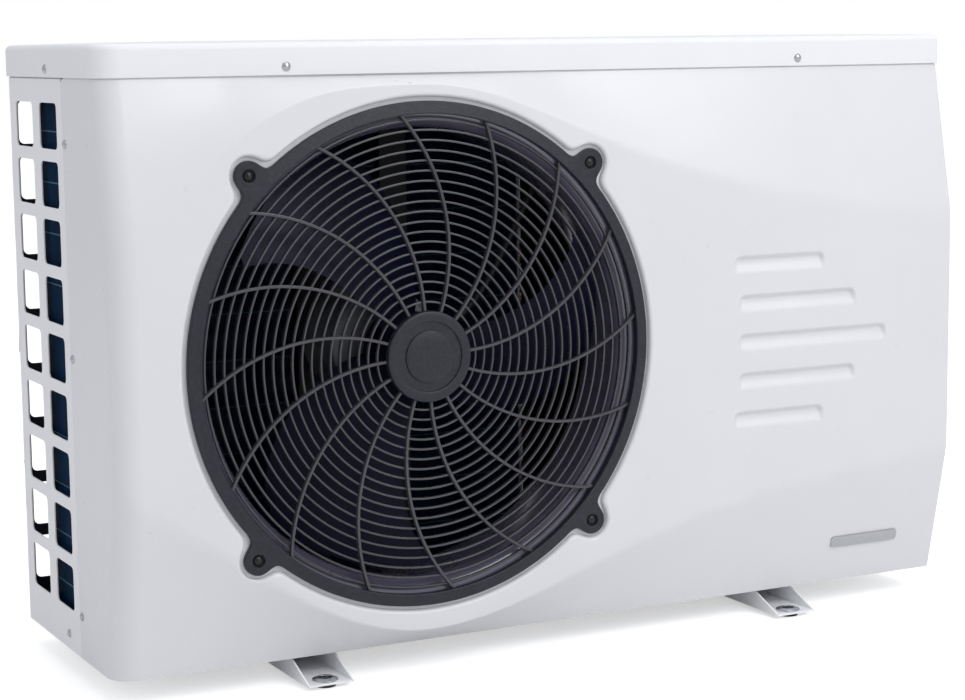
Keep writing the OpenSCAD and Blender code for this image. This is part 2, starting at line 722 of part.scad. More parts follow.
coil_x = left_x + coil_gap;
coil_y = back_y - coil_gap;
coil_front_y = seam_y + 8;
coil_end_x = partition_x - 25;   // leaves room for the return bends
coil_low_z = base_z + 6;
coil_high_z = top_z - 8;
bend_c = [coil_x + coil_bend, coil_y - coil_bend];
tube_pitch = (coil_high_z - coil_low_z - 24) / (coil_tubes - 1);
tube_r = 4.8;
function tube_z(i) = coil_low_z + 12 + i * tube_pitch;

// L-shaped run of a section drawn as (distance out from the bend's centre, height)
module coil_run() {
    translate([bend_c[0], bend_c[1], 0]) rotate([90, 0, 0])
        linear_extrude(bend_c[1] - coil_front_y) mirror([1, 0]) children();
    translate([bend_c[0], bend_c[1], 0]) rotate(90) rotate_extrude(angle = 90, $fn = 96) children();
    translate([bend_c[0], bend_c[1], 0]) rotate([90, 0, 90])
        linear_extrude(coil_end_x - bend_c[0]) children();
}

module coil_fins() {
    color([0.2, 0.3, 0.42]) coil_run() difference() {
        translate([coil_bend - coil_t, coil_low_z]) square([coil_t, coil_high_z - coil_low_z]);
        for (i = [0 : coil_tubes - 1]) translate([coil_bend - coil_t / 2, tube_z(i)]) circle(r = tube_r + run);
    }
}

module coil_tubing() {
    color("peru") {
        coil_run() for (i = [0 : coil_tubes - 1])
            translate([coil_bend - coil_t / 2, tube_z(i)]) ring(tube_r, tube_r - 0.6);
        // Return bends: pairs joined at the front end, and the next pairs at the partition end
        for (i = [0 : 2 : coil_tubes - 2]) return_bend(
            [coil_x + coil_t / 2, coil_front_y - gap, tube_z(i)], [0, -1, 0]);
        for (i = [1 : 2 : coil_tubes - 3]) return_bend(
            [coil_end_x + gap, coil_y - coil_t / 2, tube_z(i)], [1, 0, 0]);
    }
}

// Half ring from a tube's end to the end of the tube above it
module return_bend(p, out) {
    on_axes(p + [0, 0, tube_pitch / 2], [0, 0, -1], out, cross([0, 0, -1], out))
        rotate_extrude(angle = 180) translate([tube_pitch / 2, 0]) ring(tube_r, tube_r - 0.6);
}

module coil_end_plates() {
    color("silver") {
        difference() {
            block([coil_x, coil_front_y - 2 - gap, coil_low_z],
                [coil_x + coil_t, coil_front_y - gap, coil_high_z]);
            for (i = [0 : coil_tubes - 1]) facing(coil_x + coil_t / 2, coil_front_y + 2, tube_z(i))
                cylinder(h = 10, r = tube_r + 0.5);
        }
        difference() {
            block([coil_end_x + gap, coil_y - coil_t, coil_low_z],
                [coil_end_x + gap + 2, coil_y, coil_high_z]);
            for (i = [0 : coil_tubes - 1]) rightward(coil_end_x - 2, coil_y - coil_t / 2, tube_z(i))
                cylinder(h = 10, r = tube_r + 0.5);
        }
    }
}

// ---------------------------------------------------------------- compressor

function compressor_foot(a) = [compressor[0] + 84 * cos(a), compressor[1] + 84 * sin(a), 0];
comp_foot_z = floor_z + 16;

module at_compressor() translate([compressor[0], compressor[1], 0]) children();

module compressor_shell() {
    low = comp_foot_z + 2;
    color([0.12, 0.12, 0.13]) difference() {
        union() {
            at_compressor() rotate_extrude() polygon(concat([[0, low]],
                arc_points([comp_r - 18, low + 18], 18, 270, 360, 4),
                arc_points([comp_r - 30, comp_top - 30], 30, 0, 90, 5), [[0, comp_top]]));
            at_compressor() for (a = [90, 210, 330]) rotate(a) block([0, -13, comp_foot_z], [84, 13, comp_foot_z + 3]);
            for (a = [90, 210, 330]) translate(compressor_foot(a) + [0, 0, comp_foot_z]) cylinder(h = 3, r = 16);
            at_compressor() translate([0, 0, comp_top - 5]) cylinder(h = 17, r = 8);
        }
        at_compressor() rotate_extrude() polygon(concat([[0, low + 3]],
            arc_points([comp_r - 18, low + 18], 15, 270, 360, 4),
            arc_points([comp_r - 30, comp_top - 30], 27, 0, 90, 5), [[0, comp_top - 3]]));
        at_compressor() translate([0, 0, comp_top - 10]) cylinder(h = 40, r = 5);
        for (a = [90, 210, 330]) translate(compressor_foot(a)) cylinder(h = 80, r = 9);
    }
}

module compressor_stator() {
    color("peru") at_compressor() translate([0, 0, 205]) tube(comp_r - 3.2, 31.4, 75);
}

crank_offset = 4;
module compressor_rotor() {
    color("gray") at_compressor() {
        translate([0, 0, 80]) cylinder(h = 215, r = 8);
        translate([0, 0, 205]) cylinder(h = 75, r = 31);
        translate([crank_offset, 0, 111]) cylinder(h = 18, r = 13);
    }
}

module compressor_pump() {
    color("dimgray") at_compressor() difference() {
        translate([0, 0, 85]) cylinder(h = 70, r = comp_r - 3.2);
        translate([0, 0, 84]) cylinder(h = 80, r = 8 + run);
        translate([0, 0, 110]) cylinder(h = 20, r = 27);
    }
}

module rolling_piston() {
    color("silver") at_compressor() translate([crank_offset, 0, 110.5]) tube(22.8, 13 + run, 19);
}

module compressor_mounts() {
    color([0.1, 0.1, 0.1]) for (a = [90, 210, 330]) translate(compressor_foot(a)) difference() {
        union() {
            translate([0, 0, floor_z + gap]) cylinder(h = 16 - 2 * gap, r = 14);
            translate([0, 0, floor_z + 10]) cylinder(h = 13, r = 8.8);
            translate([0, 0, comp_foot_z + 3 + gap]) cylinder(h = 3.5, r = 13);
        }
        cylinder(h = 90, r = 4.2);
    }
}

module compressor_bolts() {
    top = comp_foot_z + 7.2;
    color("silver") for (a = [90, 210, 330]) translate(compressor_foot(a)) {
        translate([0, 0, base_z - gap]) rotate([180, 0, 0]) hex_bolt(7, 4.5, 4, top + 12 - base_z);
        translate([0, 0, top]) difference() {
            union() {
                cylinder(h = 1.6, r = 11);
                cylinder(h = 8, r = 7, $fn = 6);
            }
            translate([0, 0, -1]) cylinder(h = 20, r = 4.02);
        }
    }
}

module terminal_cap() {
    color([0.15, 0.15, 0.15]) translate([compressor[0] + 30, compressor[1], comp_top - 1.5])
        difference() {
            cylinder(h = 24, r = 17);
            translate([0, 0, -1]) cylinder(h = 22, r = 15);
            translate([-30, 0, -5]) cylinder(h = 40, r = 14);
            at_cap_dome();
        }
}

// The compressor's rounded shoulder, cut out of the cap that sits on it
module at_cap_dome() translate([-30, 0, 1.5 - comp_top]) rotate_extrude() polygon(concat([[0, 250]],
    arc_points([comp_r - 30, comp_top - 30], 30 + gap, 0, 90, 5), [[0, comp_top + gap]]));

accumulator_at = [160, 85];
accumulator_top = 235;
module accumulator() {
    r = 31;
    color([0.12, 0.12, 0.13]) translate([accumulator_at[0], accumulator_at[1], 0]) difference() {
        union() {
            rotate_extrude() polygon(concat([[0, 60]], arc_points([r - 12, 72], 12, 270, 360, 4),
                arc_points([r - 12, accumulator_top - 12], 12, 0, 90, 4), [[0, accumulator_top]]));
            translate([0, 0, floor_z + gap]) tube(22, 19, 40);
            translate([0, 0, accumulator_top - 5]) cylinder(h = 15, r = 10);
        }
        rotate_extrude() polygon(concat([[0, 62]], arc_points([r - 12, 72], 10, 270, 360, 4),
            arc_points([r - 12, accumulator_top - 12], 10, 0, 90, 4), [[0, accumulator_top - 2]]));
        translate([0, 0, accumulator_top - 10]) cylinder(h = 30, r = 7);
    }
}

// ---------------------------------------------------------------- valves and refrigerant pipes

valve_r = 15;
port_l = 12;
module reversing_valve() {
    bore_r = valve_r - 2;
    color("goldenrod") difference() {
        union() {
            rightward(compressor[0] - 59, compressor[1], valve_z) cylinder(h = 118, r = valve_r);
            for (i = [-1 : 1]) translate([compressor[0] + i * port_pitch, compressor[1], valve_z])
                cylinder(h = valve_r + port_l, r = 8);
            translate([compressor[0], compressor[1], valve_z - valve_r - port_l])
                cylinder(h = port_l + valve_r, r = 8);
        }
        rightward(compressor[0] - 56, compressor[1], valve_z) cylinder(h = 112, r = bore_r);
        for (i = [-1 : 1]) translate([compressor[0] + i * port_pitch, compressor[1], valve_z])
            cylinder(h = 40, r = 5);
        translate([compressor[0], compressor[1], valve_z - 40]) cylinder(h = 40, r = 5);
    }
}

slider_travel = port_pitch;
module valve_slider() {
    r = valve_r - 2 - run;
    start = compressor[0] - 55;
    color("whitesmoke") {
        for (x = [start, start + 76]) rightward(x, compressor[1], valve_z) cylinder(h = 6, r = r);
        rightward(start + 1, compressor[1], valve_z) cylinder(h = 80, r = 3);
        intersection() {
            rightward(start + 20, compressor[1], valve_z) cylinder(h = 42, r = r);
            translate([start + 10, compressor[1] - 10, valve_z + 1]) cube([60, 20, 20]);
        }
    }
}

module valve_solenoid() {
    y = compressor[1] - valve_r - 13;
    color([0.15, 0.2, 0.5]) rightward(compressor[0] - 18, y, valve_z) difference() {
        cylinder(h = 36, r = 12);
        translate([0, 0, -1]) cylinder(h = 40, r = 5.2);
    }
    color("silver") rightward(compressor[0] - 24, y, valve_z) cylinder(h = 50, r = 5);
}

expansion_at = [134, -100];
expansion_z = 285;
module expansion_valve() {
    color("goldenrod") translate([expansion_at[0], expansion_at[1], expansion_z]) difference() {
        union() {
            cylinder(h = 52, r = 9);
            translate([0, 0, 15]) rotate([0, 90, 0]) cylinder(h = 15, r = 6.5);
        }
        translate([0, 0, -1]) cylinder(h = 7, r = 3.5);
        translate([0, 0, 5]) cylinder(h = 3, r = 2.6);
        translate([0, 0, 7]) cylinder(h = 40, r = 5);
        translate([0, 0, 15]) rotate([0, 90, 0]) cylinder(h = 20, r = 3.5);
    }
    color([0.1, 0.1, 0.1]) translate([expansion_at[0], expansion_at[1], expansion_z + 26]) tube(17, 9.05, 24);
}

module expansion_needle() {
    color("silver") translate([expansion_at[0], expansion_at[1], expansion_z]) {
        translate([0, 0, 7.5]) cylinder(h = 24, r = 2.5);
        translate([0, 0, 30]) cylinder(h = 12, r = 5 - run);
    }
}

filter_z = 170;
liquid_front = [350, -100];
module filter_drier() {
    color("sandybrown") translate([liquid_front[0], liquid_front[1], filter_z]) difference() {
        rotate_extrude() polygon([[0, 0], [6.5, 0], [6.5, 8], [15, 20], [15, 62], [6.5, 74], [6.5, 82], [0, 82]]);
        rotate_extrude() polygon([[0, -1], [4.5, -1], [4.5, 9], [13, 21], [13, 61], [4.5, 73], [4.5, 83], [0, 83]]);
    }
}

pipe_wall = 0.9;
riser_x = partition_x + 17;
module refrigerant_pipes() {
    c = [compressor[0], compressor[1], 0];
    port_z = valve_z + valve_r + port_l + gap;
    hx_side_y = exchanger[1] - exchanger_r - gap;
    comp_stub = comp_top + 12 + gap;
    color("peru") {
        // Discharge: compressor to reversing valve
        pipe([c + [0, 0, comp_stub], c + [0, 0, valve_z - valve_r - port_l - gap]], 6.5, pipe_wall, 0);
        // Suction: reversing valve to accumulator
        pipe([c + [0, 0, port_z], c + [0, 0, suction_z],
            [compressor[0], accumulator_at[1], suction_z],
            [accumulator_at[0], accumulator_at[1], suction_z],
            [accumulator_at[0], accumulator_at[1], accumulator_top + 10 + gap]], 8, pipe_wall, 12);
        // Gas line: reversing valve to the top of the water heat exchanger
        pipe([c + [port_pitch, 0, port_z], c + [port_pitch, 0, suction_z],
            [exchanger[0] - 20, compressor[1], suction_z],
            [exchanger[0] - 20, compressor[1] + 30, suction_z],
            [exchanger[0] - 20, compressor[1] + 30, exchanger_top + gap]], 6.5, pipe_wall, 10);
        // Gas line: reversing valve through the partition to the coil's highest tube
        pipe([c + [-port_pitch, 0, port_z], c + [-port_pitch, 0, gas_z],
            [compressor[0] - port_pitch, header_y, gas_z],
            [riser_x, header_y, gas_z], [riser_x, header_y, tube_z(coil_tubes - 1)],
            [coil_end_x + 3, header_y, tube_z(coil_tubes - 1)]], 6.5, pipe_wall, 10);
        // Liquid line: exchanger to filter, filter to expansion valve, on to the coil's lowest tube
        pipe([[liquid_front[0], hx_side_y, 100], [liquid_front[0], liquid_front[1], 100],
            [liquid_front[0], liquid_front[1], filter_z - gap]], 5, pipe_wall, 12);
        pipe([[liquid_front[0], liquid_front[1], filter_z + 82 + gap],
            [liquid_front[0], liquid_front[1], expansion_z + 15],
            [expansion_at[0] + 15 + gap, liquid_front[1], expansion_z + 15]], 5, pipe_wall, 12);
        pipe([[expansion_at[0], expansion_at[1], expansion_z - gap],
            [expansion_at[0], expansion_at[1], liquid_z],
            [expansion_at[0], header_y, liquid_z], [expansion_at[0], header_y, tube_z(0)],
            [coil_end_x + 3, header_y, tube_z(0)]], 5, pipe_wall, 10);
    }
}

// ---------------------------------------------------------------- water side

exchanger_top = 398;
module at_exchanger(z) translate([exchanger[0], exchanger[1], z]) children();
module exchanger_shell() {
    wall = 4;
    stub_x = exchanger[0] + 95;
    color([0.2, 0.2, 0.22]) difference() {
        union() {
            at_exchanger(58) cylinder(h = exchanger_top - 58, r = exchanger_r, $fn = 64);
            at_exchanger(floor_z + gap) cylinder(h = 40, r = exchanger_r - 8, $fn = 64);
            for (z = [inlet_z, outlet_z]) rightward(exchanger[0], exchanger[1], z)
                cylinder(h = stub_x - exchanger[0], r = pool_pipe_r + 4);
        }
        at_exchanger(62) cylinder(h = exchanger_top - 66, r = exchanger_r - wall, $fn = 64);
        at_exchanger(floor_z - 5) cylinder(h = 58 - floor_z + 5, r = exchanger_r - 12, $fn = 64);
        for (z = [inlet_z, outlet_z]) {
            rightward(exchanger[0] + 40, exchanger[1], z) cylinder(h = 100, r = pool_pipe_r - 3);
            rightward(stub_x - 16, exchanger[1], z) cylinder(h = 100, r = pool_pipe_r + run);
        }
    }
}

module titanium_coil() {
    turns = 8;
    steps = 16;
    low = 92;
    high = 368;
    color("silver") at_exchanger(0) swept([for (i = [0 : turns * steps])
        [54 * cos(360 * i / steps), 54 * sin(360 * i / steps), low + (high - low) * i / (turns * steps)]],
        7, 6, [0, 0, 1]);
}

// Pipe with a threaded collar outside the panel. The lower one carries the flow switch's boss
collar_r = 33;
collar_end_x = panel_out + 20;
switch_x = 472;
boss_top = inlet_z + 40;
module water_pipes() {
    start = exchanger[0] + 80;
    color("lightgray") difference() {
        union() {
            for (z = [inlet_z, outlet_z]) rightward(start, water_y, z) {
                cylinder(h = collar_end_x - start, r = pool_pipe_r);
                translate([0, 0, panel_out - start]) cylinder(h = 20, r = collar_r);
            }
            translate([switch_x, water_y, inlet_z]) cylinder(h = boss_top - inlet_z, r = 14);
        }
        for (z = [inlet_z, outlet_z]) rightward(start - 1, water_y, z) cylinder(h = 200, r = pool_pipe_r - 3);
        translate([switch_x, water_y, inlet_z]) cylinder(h = 80, r = 11);
    }
}

nut_x = panel_out + 4;
tail_flange_x = collar_end_x + 1.2;
tail_end_x = collar_end_x + 50;
socket_l = 32;
module union_nut(z) {
    l = 30;
    color("lightgray") rightward(nut_x, water_y, z) difference() {
        union() {
            cylinder(h = l, r = collar_r + 5);
            for (a = [0 : 45 : 315]) rotate(a) translate([collar_r + 3, -4, 0]) cube([6, 8, l]);
        }
        translate([0, 0, -1]) cylinder(h = l - 3, r = collar_r + run);
        cylinder(h = l + 10, r = pool_pipe_r + 4.2);
    }
}
module inlet_union_nut() union_nut(inlet_z);
module outlet_union_nut() union_nut(outlet_z);

module union_tails() {
    color("lightgray") for (z = [inlet_z, outlet_z]) rightward(tail_flange_x, water_y, z) difference() {
        union() {
            cylinder(h = tail_end_x - tail_flange_x, r = pool_pipe_r + 4);
            cylinder(h = 4.5, r = collar_r - 0.1);
        }
        translate([0, 0, -1]) cylinder(h = 90, r = pool_pipe_r - 3);
        translate([0, 0, tail_end_x - tail_flange_x - socket_l]) cylinder(h = 90, r = pool_pipe_r + 0.1);
    }
}

module union_gaskets() {
    color([0.1, 0.1, 0.1]) for (z = [inlet_z, outlet_z])
        rightward(collar_end_x + 0.1, water_y, z) tube(30, 23.5, 1);
}

pivot_z = inlet_z + 30;
module flow_switch_body() {
    color([0.15, 0.15, 0.16]) translate([switch_x, water_y, 0]) difference() {
        union() {
            translate([0, 0, pivot_z - 4]) cylinder(h = 16, r = 10.8);
            translate([0, 0, boss_top + gap]) cylinder(h = 12, r = 17, $fn = 6);
            translate([0, 0, boss_top + 12]) cylinder(h = 30, r = 15);
        }
        translate([-20, -3.5, pivot_z - 10]) cube([40, 7, 17]);
        translate([0, 20, pivot_z]) rotate([90, 0, 0]) cylinder(h = 40, r = 1.5 + run);
    }
}

module flow_paddle() {
    color("silver") translate([switch_x, water_y, pivot_z]) {
        translate([0, 8, 0]) rotate([90, 0, 0]) cylinder(h = 16, r = 1.5);
        block([-1.2, -3, -26], [1.2, 3, 1]);
        block([-0.6, -8, -46], [0.6, 8, -22]);
    }
}

// ---------------------------------------------------------------- electrical side

box_low = [partition_x + 20, front_y + 22, top_z - 120];
box_high = [partition_x + 365, 5, top_z - 12];
board_z = box_low[2] + 12;

module control_box() {
    color("silver") difference() {
        block(box_low, box_high);
        block(box_low + sheet * [1, 1, 1], box_high - [sheet, sheet, -5]);
        rightward(box_low[0] - 5, -40, 560) cylinder(h = 12, r = 10);
        translate([compressor[0] + 60, -60, box_low[2] - 5]) cylinder(h = 10, r = 8);
    }
}

module circuit_board() {
    x = box_low[0] + 12;
    y = box_low[1] + 12;
    color("darkgreen") difference() {
        block([x, y, board_z], [x + 190, y + 105, board_z + 1.6]);
        for (i = [4, 186], j = [4, 101]) translate([x + i, y + j, board_z - 1]) cylinder(h = 5, r = 2);
    }
    color("silver") for (i = [4, 186], j = [4, 101])
        translate([x + i, y + j, box_low[2] + sheet + gap]) cylinder(h = board_z - box_low[2] + 3, r = 1.8);
}

// Relays, capacitors and heat sink on the board, then the contactor, run capacitor and terminal block
module electrical_parts() {
    x = box_low[0] + 12;
    y = box_low[1] + 12;
    top = board_z + 1.6 + gap;
    floor_top = box_low[2] + sheet + gap;
    color("black") for (i = [0 : 3]) translate([x + 20 + i * 24, y + 75, top]) cube([18, 22, 16]);
    color("midnightblue") for (i = [0 : 2]) translate([x + 120 + i * 26, y + 80, top]) cylinder(h = 32, r = 11);
    color("silver") translate([x + 16, y + 15, top]) {
        cube([70, 45, 4]);
        for (i = [0 : 6]) translate([i * 11, 0, 3]) cube([2.5, 45, 22]);
    }
    color("ivory") translate([x + 215, y + 20, floor_top]) cube([46, 60, 55]);
    color("lightgray") translate([x + 290, y + 30, floor_top]) cylinder(h = 75, r = 20);
    color("ivory") translate([x + 215, y + 95, floor_top]) difference() {
        cube([100, 22, 20]);
        for (i = [0 : 5]) translate([10 + 16 * i, 11, 8]) cylinder(h = 20, r = 5);
    }
}

module wiring_and_drain() {
    motor_side = [fan_x + 60.5, motor_back_y - 30, fan_z];
    color("black") {
        // Fan motor cable, through the partition to the control box
        swept(curve(motor_side, motor_side + [120, -10, 0], [partition_x - 110, -40, 560],
            [box_low[0] + 8, -40, 560], 16), 4, 8, [0, 1, 0]);
        // Compressor cable, up to the control box
        swept(curve([compressor[0] + 48.2, compressor[1], comp_top + 12],
            [compressor[0] + 85, compressor[1], comp_top + 20],
            [compressor[0] + 60, -60, 400], [compressor[0] + 60, -60, box_low[2] + 8], 14), 4, 8, [0, 1, 0]);
    }
    // Drain elbow in the pan, with a spigot for a hose behind the cabinet
    color("dimgray") {
        pipe([[drain_at[0], drain_at[1], floor_z + gap + 2], [drain_at[0], drain_at[1], 15],
            [drain_at[0], back_y + 26, 15]], 8, 2, 10.5);
        translate([drain_at[0], drain_at[1], floor_z + gap]) tube(14, 7, 2);
        facing(drain_at[0], back_y + 3, 15) tube(9.5, 7, 3);
    }
}

base_pan();
foot_rail_left();
foot_rail_right();
rubber_feet();
foot_washers();
rail_bolts();
front_panel();
coil_guard();
right_side_panel();
back_panel();
top_lid();
partition_plate();
badge();
cabinet_screws();
side_handle();
wiring_cover();
cable_gland();
fan_grille();
grille_screws();
fan_shroud();
fan_blades();
fan_nut();
motor_housing();
motor_bearings();
motor_stator();
motor_rotor();
motor_bracket();
motor_screws();
coil_fins();
coil_tubing();
coil_end_plates();
compressor_shell();
compressor_stator();
compressor_rotor();
compressor_pump();
rolling_piston();
compressor_mounts();
compressor_bolts();
terminal_cap();
accumulator();
reversing_valve();
valve_slider();
valve_solenoid();
expansion_valve();
expansion_needle();
filter_drier();
refrigerant_pipes();
exchanger_shell();
titanium_coil();
water_pipes();
inlet_union_nut();
outlet_union_nut();
union_tails();
union_gaskets();
flow_switch_body();
flow_paddle();
control_box();
circuit_board();
electrical_parts();
wiring_and_drain();
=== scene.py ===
"""Looks of a pool heat pump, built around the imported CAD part.

Sizes are in millimetres in the CAD part's frame (X right, Y back, Z up, origin on the ground in the
middle of the feet) and become metres when a mesh is made.
"""
import json
import math

import bmesh
import bpy
import numpy as np
from mathutils import Matrix, Vector
from mathutils.geometry import delaunay_2d_cdt

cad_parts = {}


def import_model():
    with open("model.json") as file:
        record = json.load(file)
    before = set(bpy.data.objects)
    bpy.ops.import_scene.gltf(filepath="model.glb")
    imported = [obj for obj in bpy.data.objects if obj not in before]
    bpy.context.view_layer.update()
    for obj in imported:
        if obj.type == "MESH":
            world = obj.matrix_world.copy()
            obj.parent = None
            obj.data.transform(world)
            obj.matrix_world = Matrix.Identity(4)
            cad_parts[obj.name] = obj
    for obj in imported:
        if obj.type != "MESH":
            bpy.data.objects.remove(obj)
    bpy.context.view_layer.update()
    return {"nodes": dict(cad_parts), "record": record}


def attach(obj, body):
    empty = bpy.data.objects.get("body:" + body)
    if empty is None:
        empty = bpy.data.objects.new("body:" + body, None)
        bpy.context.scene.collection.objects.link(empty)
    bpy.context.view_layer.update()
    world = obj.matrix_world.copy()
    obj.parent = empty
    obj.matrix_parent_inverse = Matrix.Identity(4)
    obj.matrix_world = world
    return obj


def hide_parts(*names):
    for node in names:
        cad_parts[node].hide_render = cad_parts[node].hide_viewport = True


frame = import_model()

# ---------------------------------------------------------------- driving dimensions

MM = 0.001
GAP = 0.2

LEFT_X, RIGHT_X = -500, 500
FRONT_Y, BACK_Y = -150, 150
BASE_Z, TOP_Z = 27, 616
MID_Z = (BASE_Z + TOP_Z) / 2
LID_Z, LID_TOP = 617.5, 652
LID_OVER = 2
TONGUE_Z = TOP_Z + 18
CORNER_R = 26
EDGE_R = 5
REAR_R = 1
SHEET = 1.5
SHELL = 3
BAND = 32
BAND_Y = FRONT_Y - BAND
LEFT_SEAM_Y = FRONT_Y + 110
RIGHT_SEAM_Y = FRONT_Y + 40
SEAM_GAP = 0.5        # between the front moulding and the sheets behind it

FAN_X, FAN_Z = -168, 331
SEAT_DEPTH = 6
SEAT_Y = BAND_Y + SEAT_DEPTH
GRILLE_R = 259
SEAT_R = GRILLE_R + 4
FRAME_W = 13
HOLE_R = GRILLE_R - FRAME_W + 3
EAR_AT = GRILLE_R + 10.5
EAR_R = 15
EAR_SEAT_R = 18.5
EAR_WEB = 16          # size of the fillets between the ears and the ring
EAR_ANGLES = [math.radians(a) for a in (45, 135, 225, 315)]
HUB_R = 47
BARS, BAR_0, BAR_PITCH = 19, 55.5, 10.25
SPOKES, SPOKE_R, SPOKE_C = 16, 203, (-177, 109)

BLADES, BLADE_R = 3, 226
BLADE_HUB_R, BLADE_HUB_L = 42, 42
BLADE_HALF, BLADE_PITCH, BLADE_SWEEP = (34, 62), (33, -13), (-16, 26)   # at the root and its change
BLADE_CAMBER, BLADE_T = 5, (0.45, 1.2)

SLOT_PITCH, SLOT_H, SLOT_LOW_Z = 43, 22, BASE_Z + 204
SLOT_DEPTH, SLOT_WALL, SLOT_CORNER = 4.8, 6, 9

COIL_GAP, COIL_T, COIL_BEND = 8, 38, 75
COIL_TUBES = 22
COIL_LOW_Z, COIL_HIGH_Z = BASE_Z + 6, TOP_Z - 8
TUBE_PITCH = (COIL_HIGH_Z - COIL_LOW_Z - 24) / (COIL_TUBES - 1)
PARTITION_X = RIGHT_X - 387

# ---------------------------------------------------------------- mesh helpers


class Shape:
    """Points and faces gathered from several parts of one piece, in millimetres."""

    def __init__(self):
        self.points = []
        self.faces = []

    def add(self, points, faces):
        start = len(self.points)
        self.points += [tuple(p) for p in points]
        self.faces += [tuple(i + start for i in face) for face in faces]

    def loft(self, rings, joined=False, caps=True):
        """Closed rings of points, one after another; joined makes the last meet the first."""
        count = len(rings[0])
        points = [p for ring in rings for p in ring]
        last = len(rings) if joined else len(rings) - 1
        faces = []
        for i in range(last):
            a = i * count
            b = (i + 1) % len(rings) * count
            for k in range(count):
                n = (k + 1) % count
                faces.append((a + k, a + n, b + n, b + k))
        if caps and not joined:
            end = (len(rings) - 1) * count
            faces.append(tuple(reversed(range(count))))
            faces.append(tuple(range(end, end + count)))
        self.add(points, faces)

    def piece(self, name, material, body="cabinet", replaces=(), sharp=35):
        mesh = bpy.data.meshes.new(name)
        points = np.array(self.points, float) * MM
        mesh.from_pydata(points.tolist(), [], self.faces)
        mesh.validate()
        outward(mesh)
        mesh.shade_smooth()
        mesh.set_sharp_from_angle(angle=math.radians(sharp))
        mesh.materials.append(material)
        obj = bpy.data.objects.new(name, mesh)
        bpy.context.scene.collection.objects.link(obj)
        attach(obj, body)
        if replaces:
            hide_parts(*replaces)
        return obj


def outward(mesh):
    """Turns all faces of a closed mesh to the outside."""
    work = bmesh.new()
    work.from_mesh(mesh)
    bmesh.ops.recalc_face_normals(work, faces=work.faces)
    work.to_mesh(mesh)
    work.free()


def bevel(obj, width, segments=2, angle=35):
    """Rounds the edges between faces that meet at more than the angle."""
    edge = obj.modifiers.new("edges", "BEVEL")
    edge.width = width * MM
    edge.segments = segments
    edge.limit_method = "ANGLE"
    edge.angle_limit = math.radians(angle)
    edge.harden_normals = True
    return obj


def soften(node, width, segments=2):
    """Gives a CAD node's edges a small radius without moving its faces."""
    obj = frame["nodes"][node]
    weld = obj.modifiers.new("weld", "WELD")
    weld.merge_threshold = 0.002 * MM
    return bevel(obj, width, segments)


def arc(centre, radius, start, end, steps):
    """Points of an arc; angles in degrees, both ends included."""
    angles = np.radians(np.linspace(start, end, steps + 1))
    return [(centre[0] + radius * math.cos(a), centre[1] + radius * math.sin(a)) for a in angles]


def rounded(width, height, radius, steps=5, at=(0, 0)):
    """Outline of a rectangle with round corners."""
    w, h = width / 2 - radius, height / 2 - radius
    corners = [((w, h), 0), ((-w, h), 90), ((-w, -h), 180), ((w, -h), 270)]
    return [p for (x, y), a in corners
            for p in arc((at[0] + x, at[1] + y), radius, a, a + 90, steps)]


def circle(centre, radius, steps=48):
    return arc(centre, radius, 0, 360, steps)[:-1]


def revolve(shape, profile, place, segments=96, joined=False, caps=True):
    """Turns a profile of (radius, distance along the axis) about an axis given by place()."""
    angles = np.linspace(0, 2 * math.pi, segments + 1)[:-1]
    shape.loft([[place(r * math.cos(a), r * math.sin(a), d) for a in angles] for r, d in profile],
               joined=joined, caps=caps)


def facing(x, y, z):
    """Axis through (x, y, z) that points to the front."""
    return lambda u, v, d: (x + u, y - d, z + v)


def rightward(x, y, z):
    """Axis through (x, y, z) that points to the right."""
    return lambda u, v, d: (x + d, y + u, z + v)


def inside(point, loop):
    """Whether a point lies in a closed loop of points, by counting crossings."""
    x, y = point
    found = False
    for (x0, y0), (x1, y1) in zip(loop, loop[1:] + loop[:1]):
        if (y0 > y) != (y1 > y) and x < (x1 - x0) * (y - y0) / (y1 - y0) + x0:
            found = not found
    return found


def triangulate(outline, holes, extra=(), loops=(), lines=()):
    """Points and triangles that fill an outline apart from its holes, with edges along the closed
    loops and the open lines."""
    points, edges = [], []
    for loop in [outline] + list(holes) + list(loops):
        start = len(points)
        points += [Vector(p) for p in loop]
        edges += [(start + k, start + (k + 1) % len(loop)) for k in range(len(loop))]
    for line in lines:
        start = len(points)
        points += [Vector(p) for p in line]
        edges += [(start + k, start + k + 1) for k in range(len(line) - 1)]
    points += [Vector(p) for p in extra]
    flat, _, faces, *_ = delaunay_2d_cdt(points, edges, [], 0, 1e-5)
    boxes = [(min(p[0] for p in h), max(p[0] for p in h), min(p[1] for p in h), max(p[1] for p in h))
             for h in holes]
    kept = []
    for face in faces:
        c = sum((flat[i] for i in face), Vector((0, 0))) / 3
        in_hole = any(b[0] < c.x < b[1] and b[2] < c.y < b[3] and inside(c, h)
                      for b, h in zip(boxes, holes))
        if not in_hole and inside(c, outline):
            kept.append(tuple(face))
    return [tuple(p) for p in flat], kept


def border_edges(faces):
    """Edges that belong to one triangle only, each in that triangle's direction."""
    directed = set()
    for f in faces:
        directed |= {(f[0], f[1]), (f[1], f[2]), (f[2], f[0])}
    return [(a, b) for a, b in directed if (b, a) not in directed]


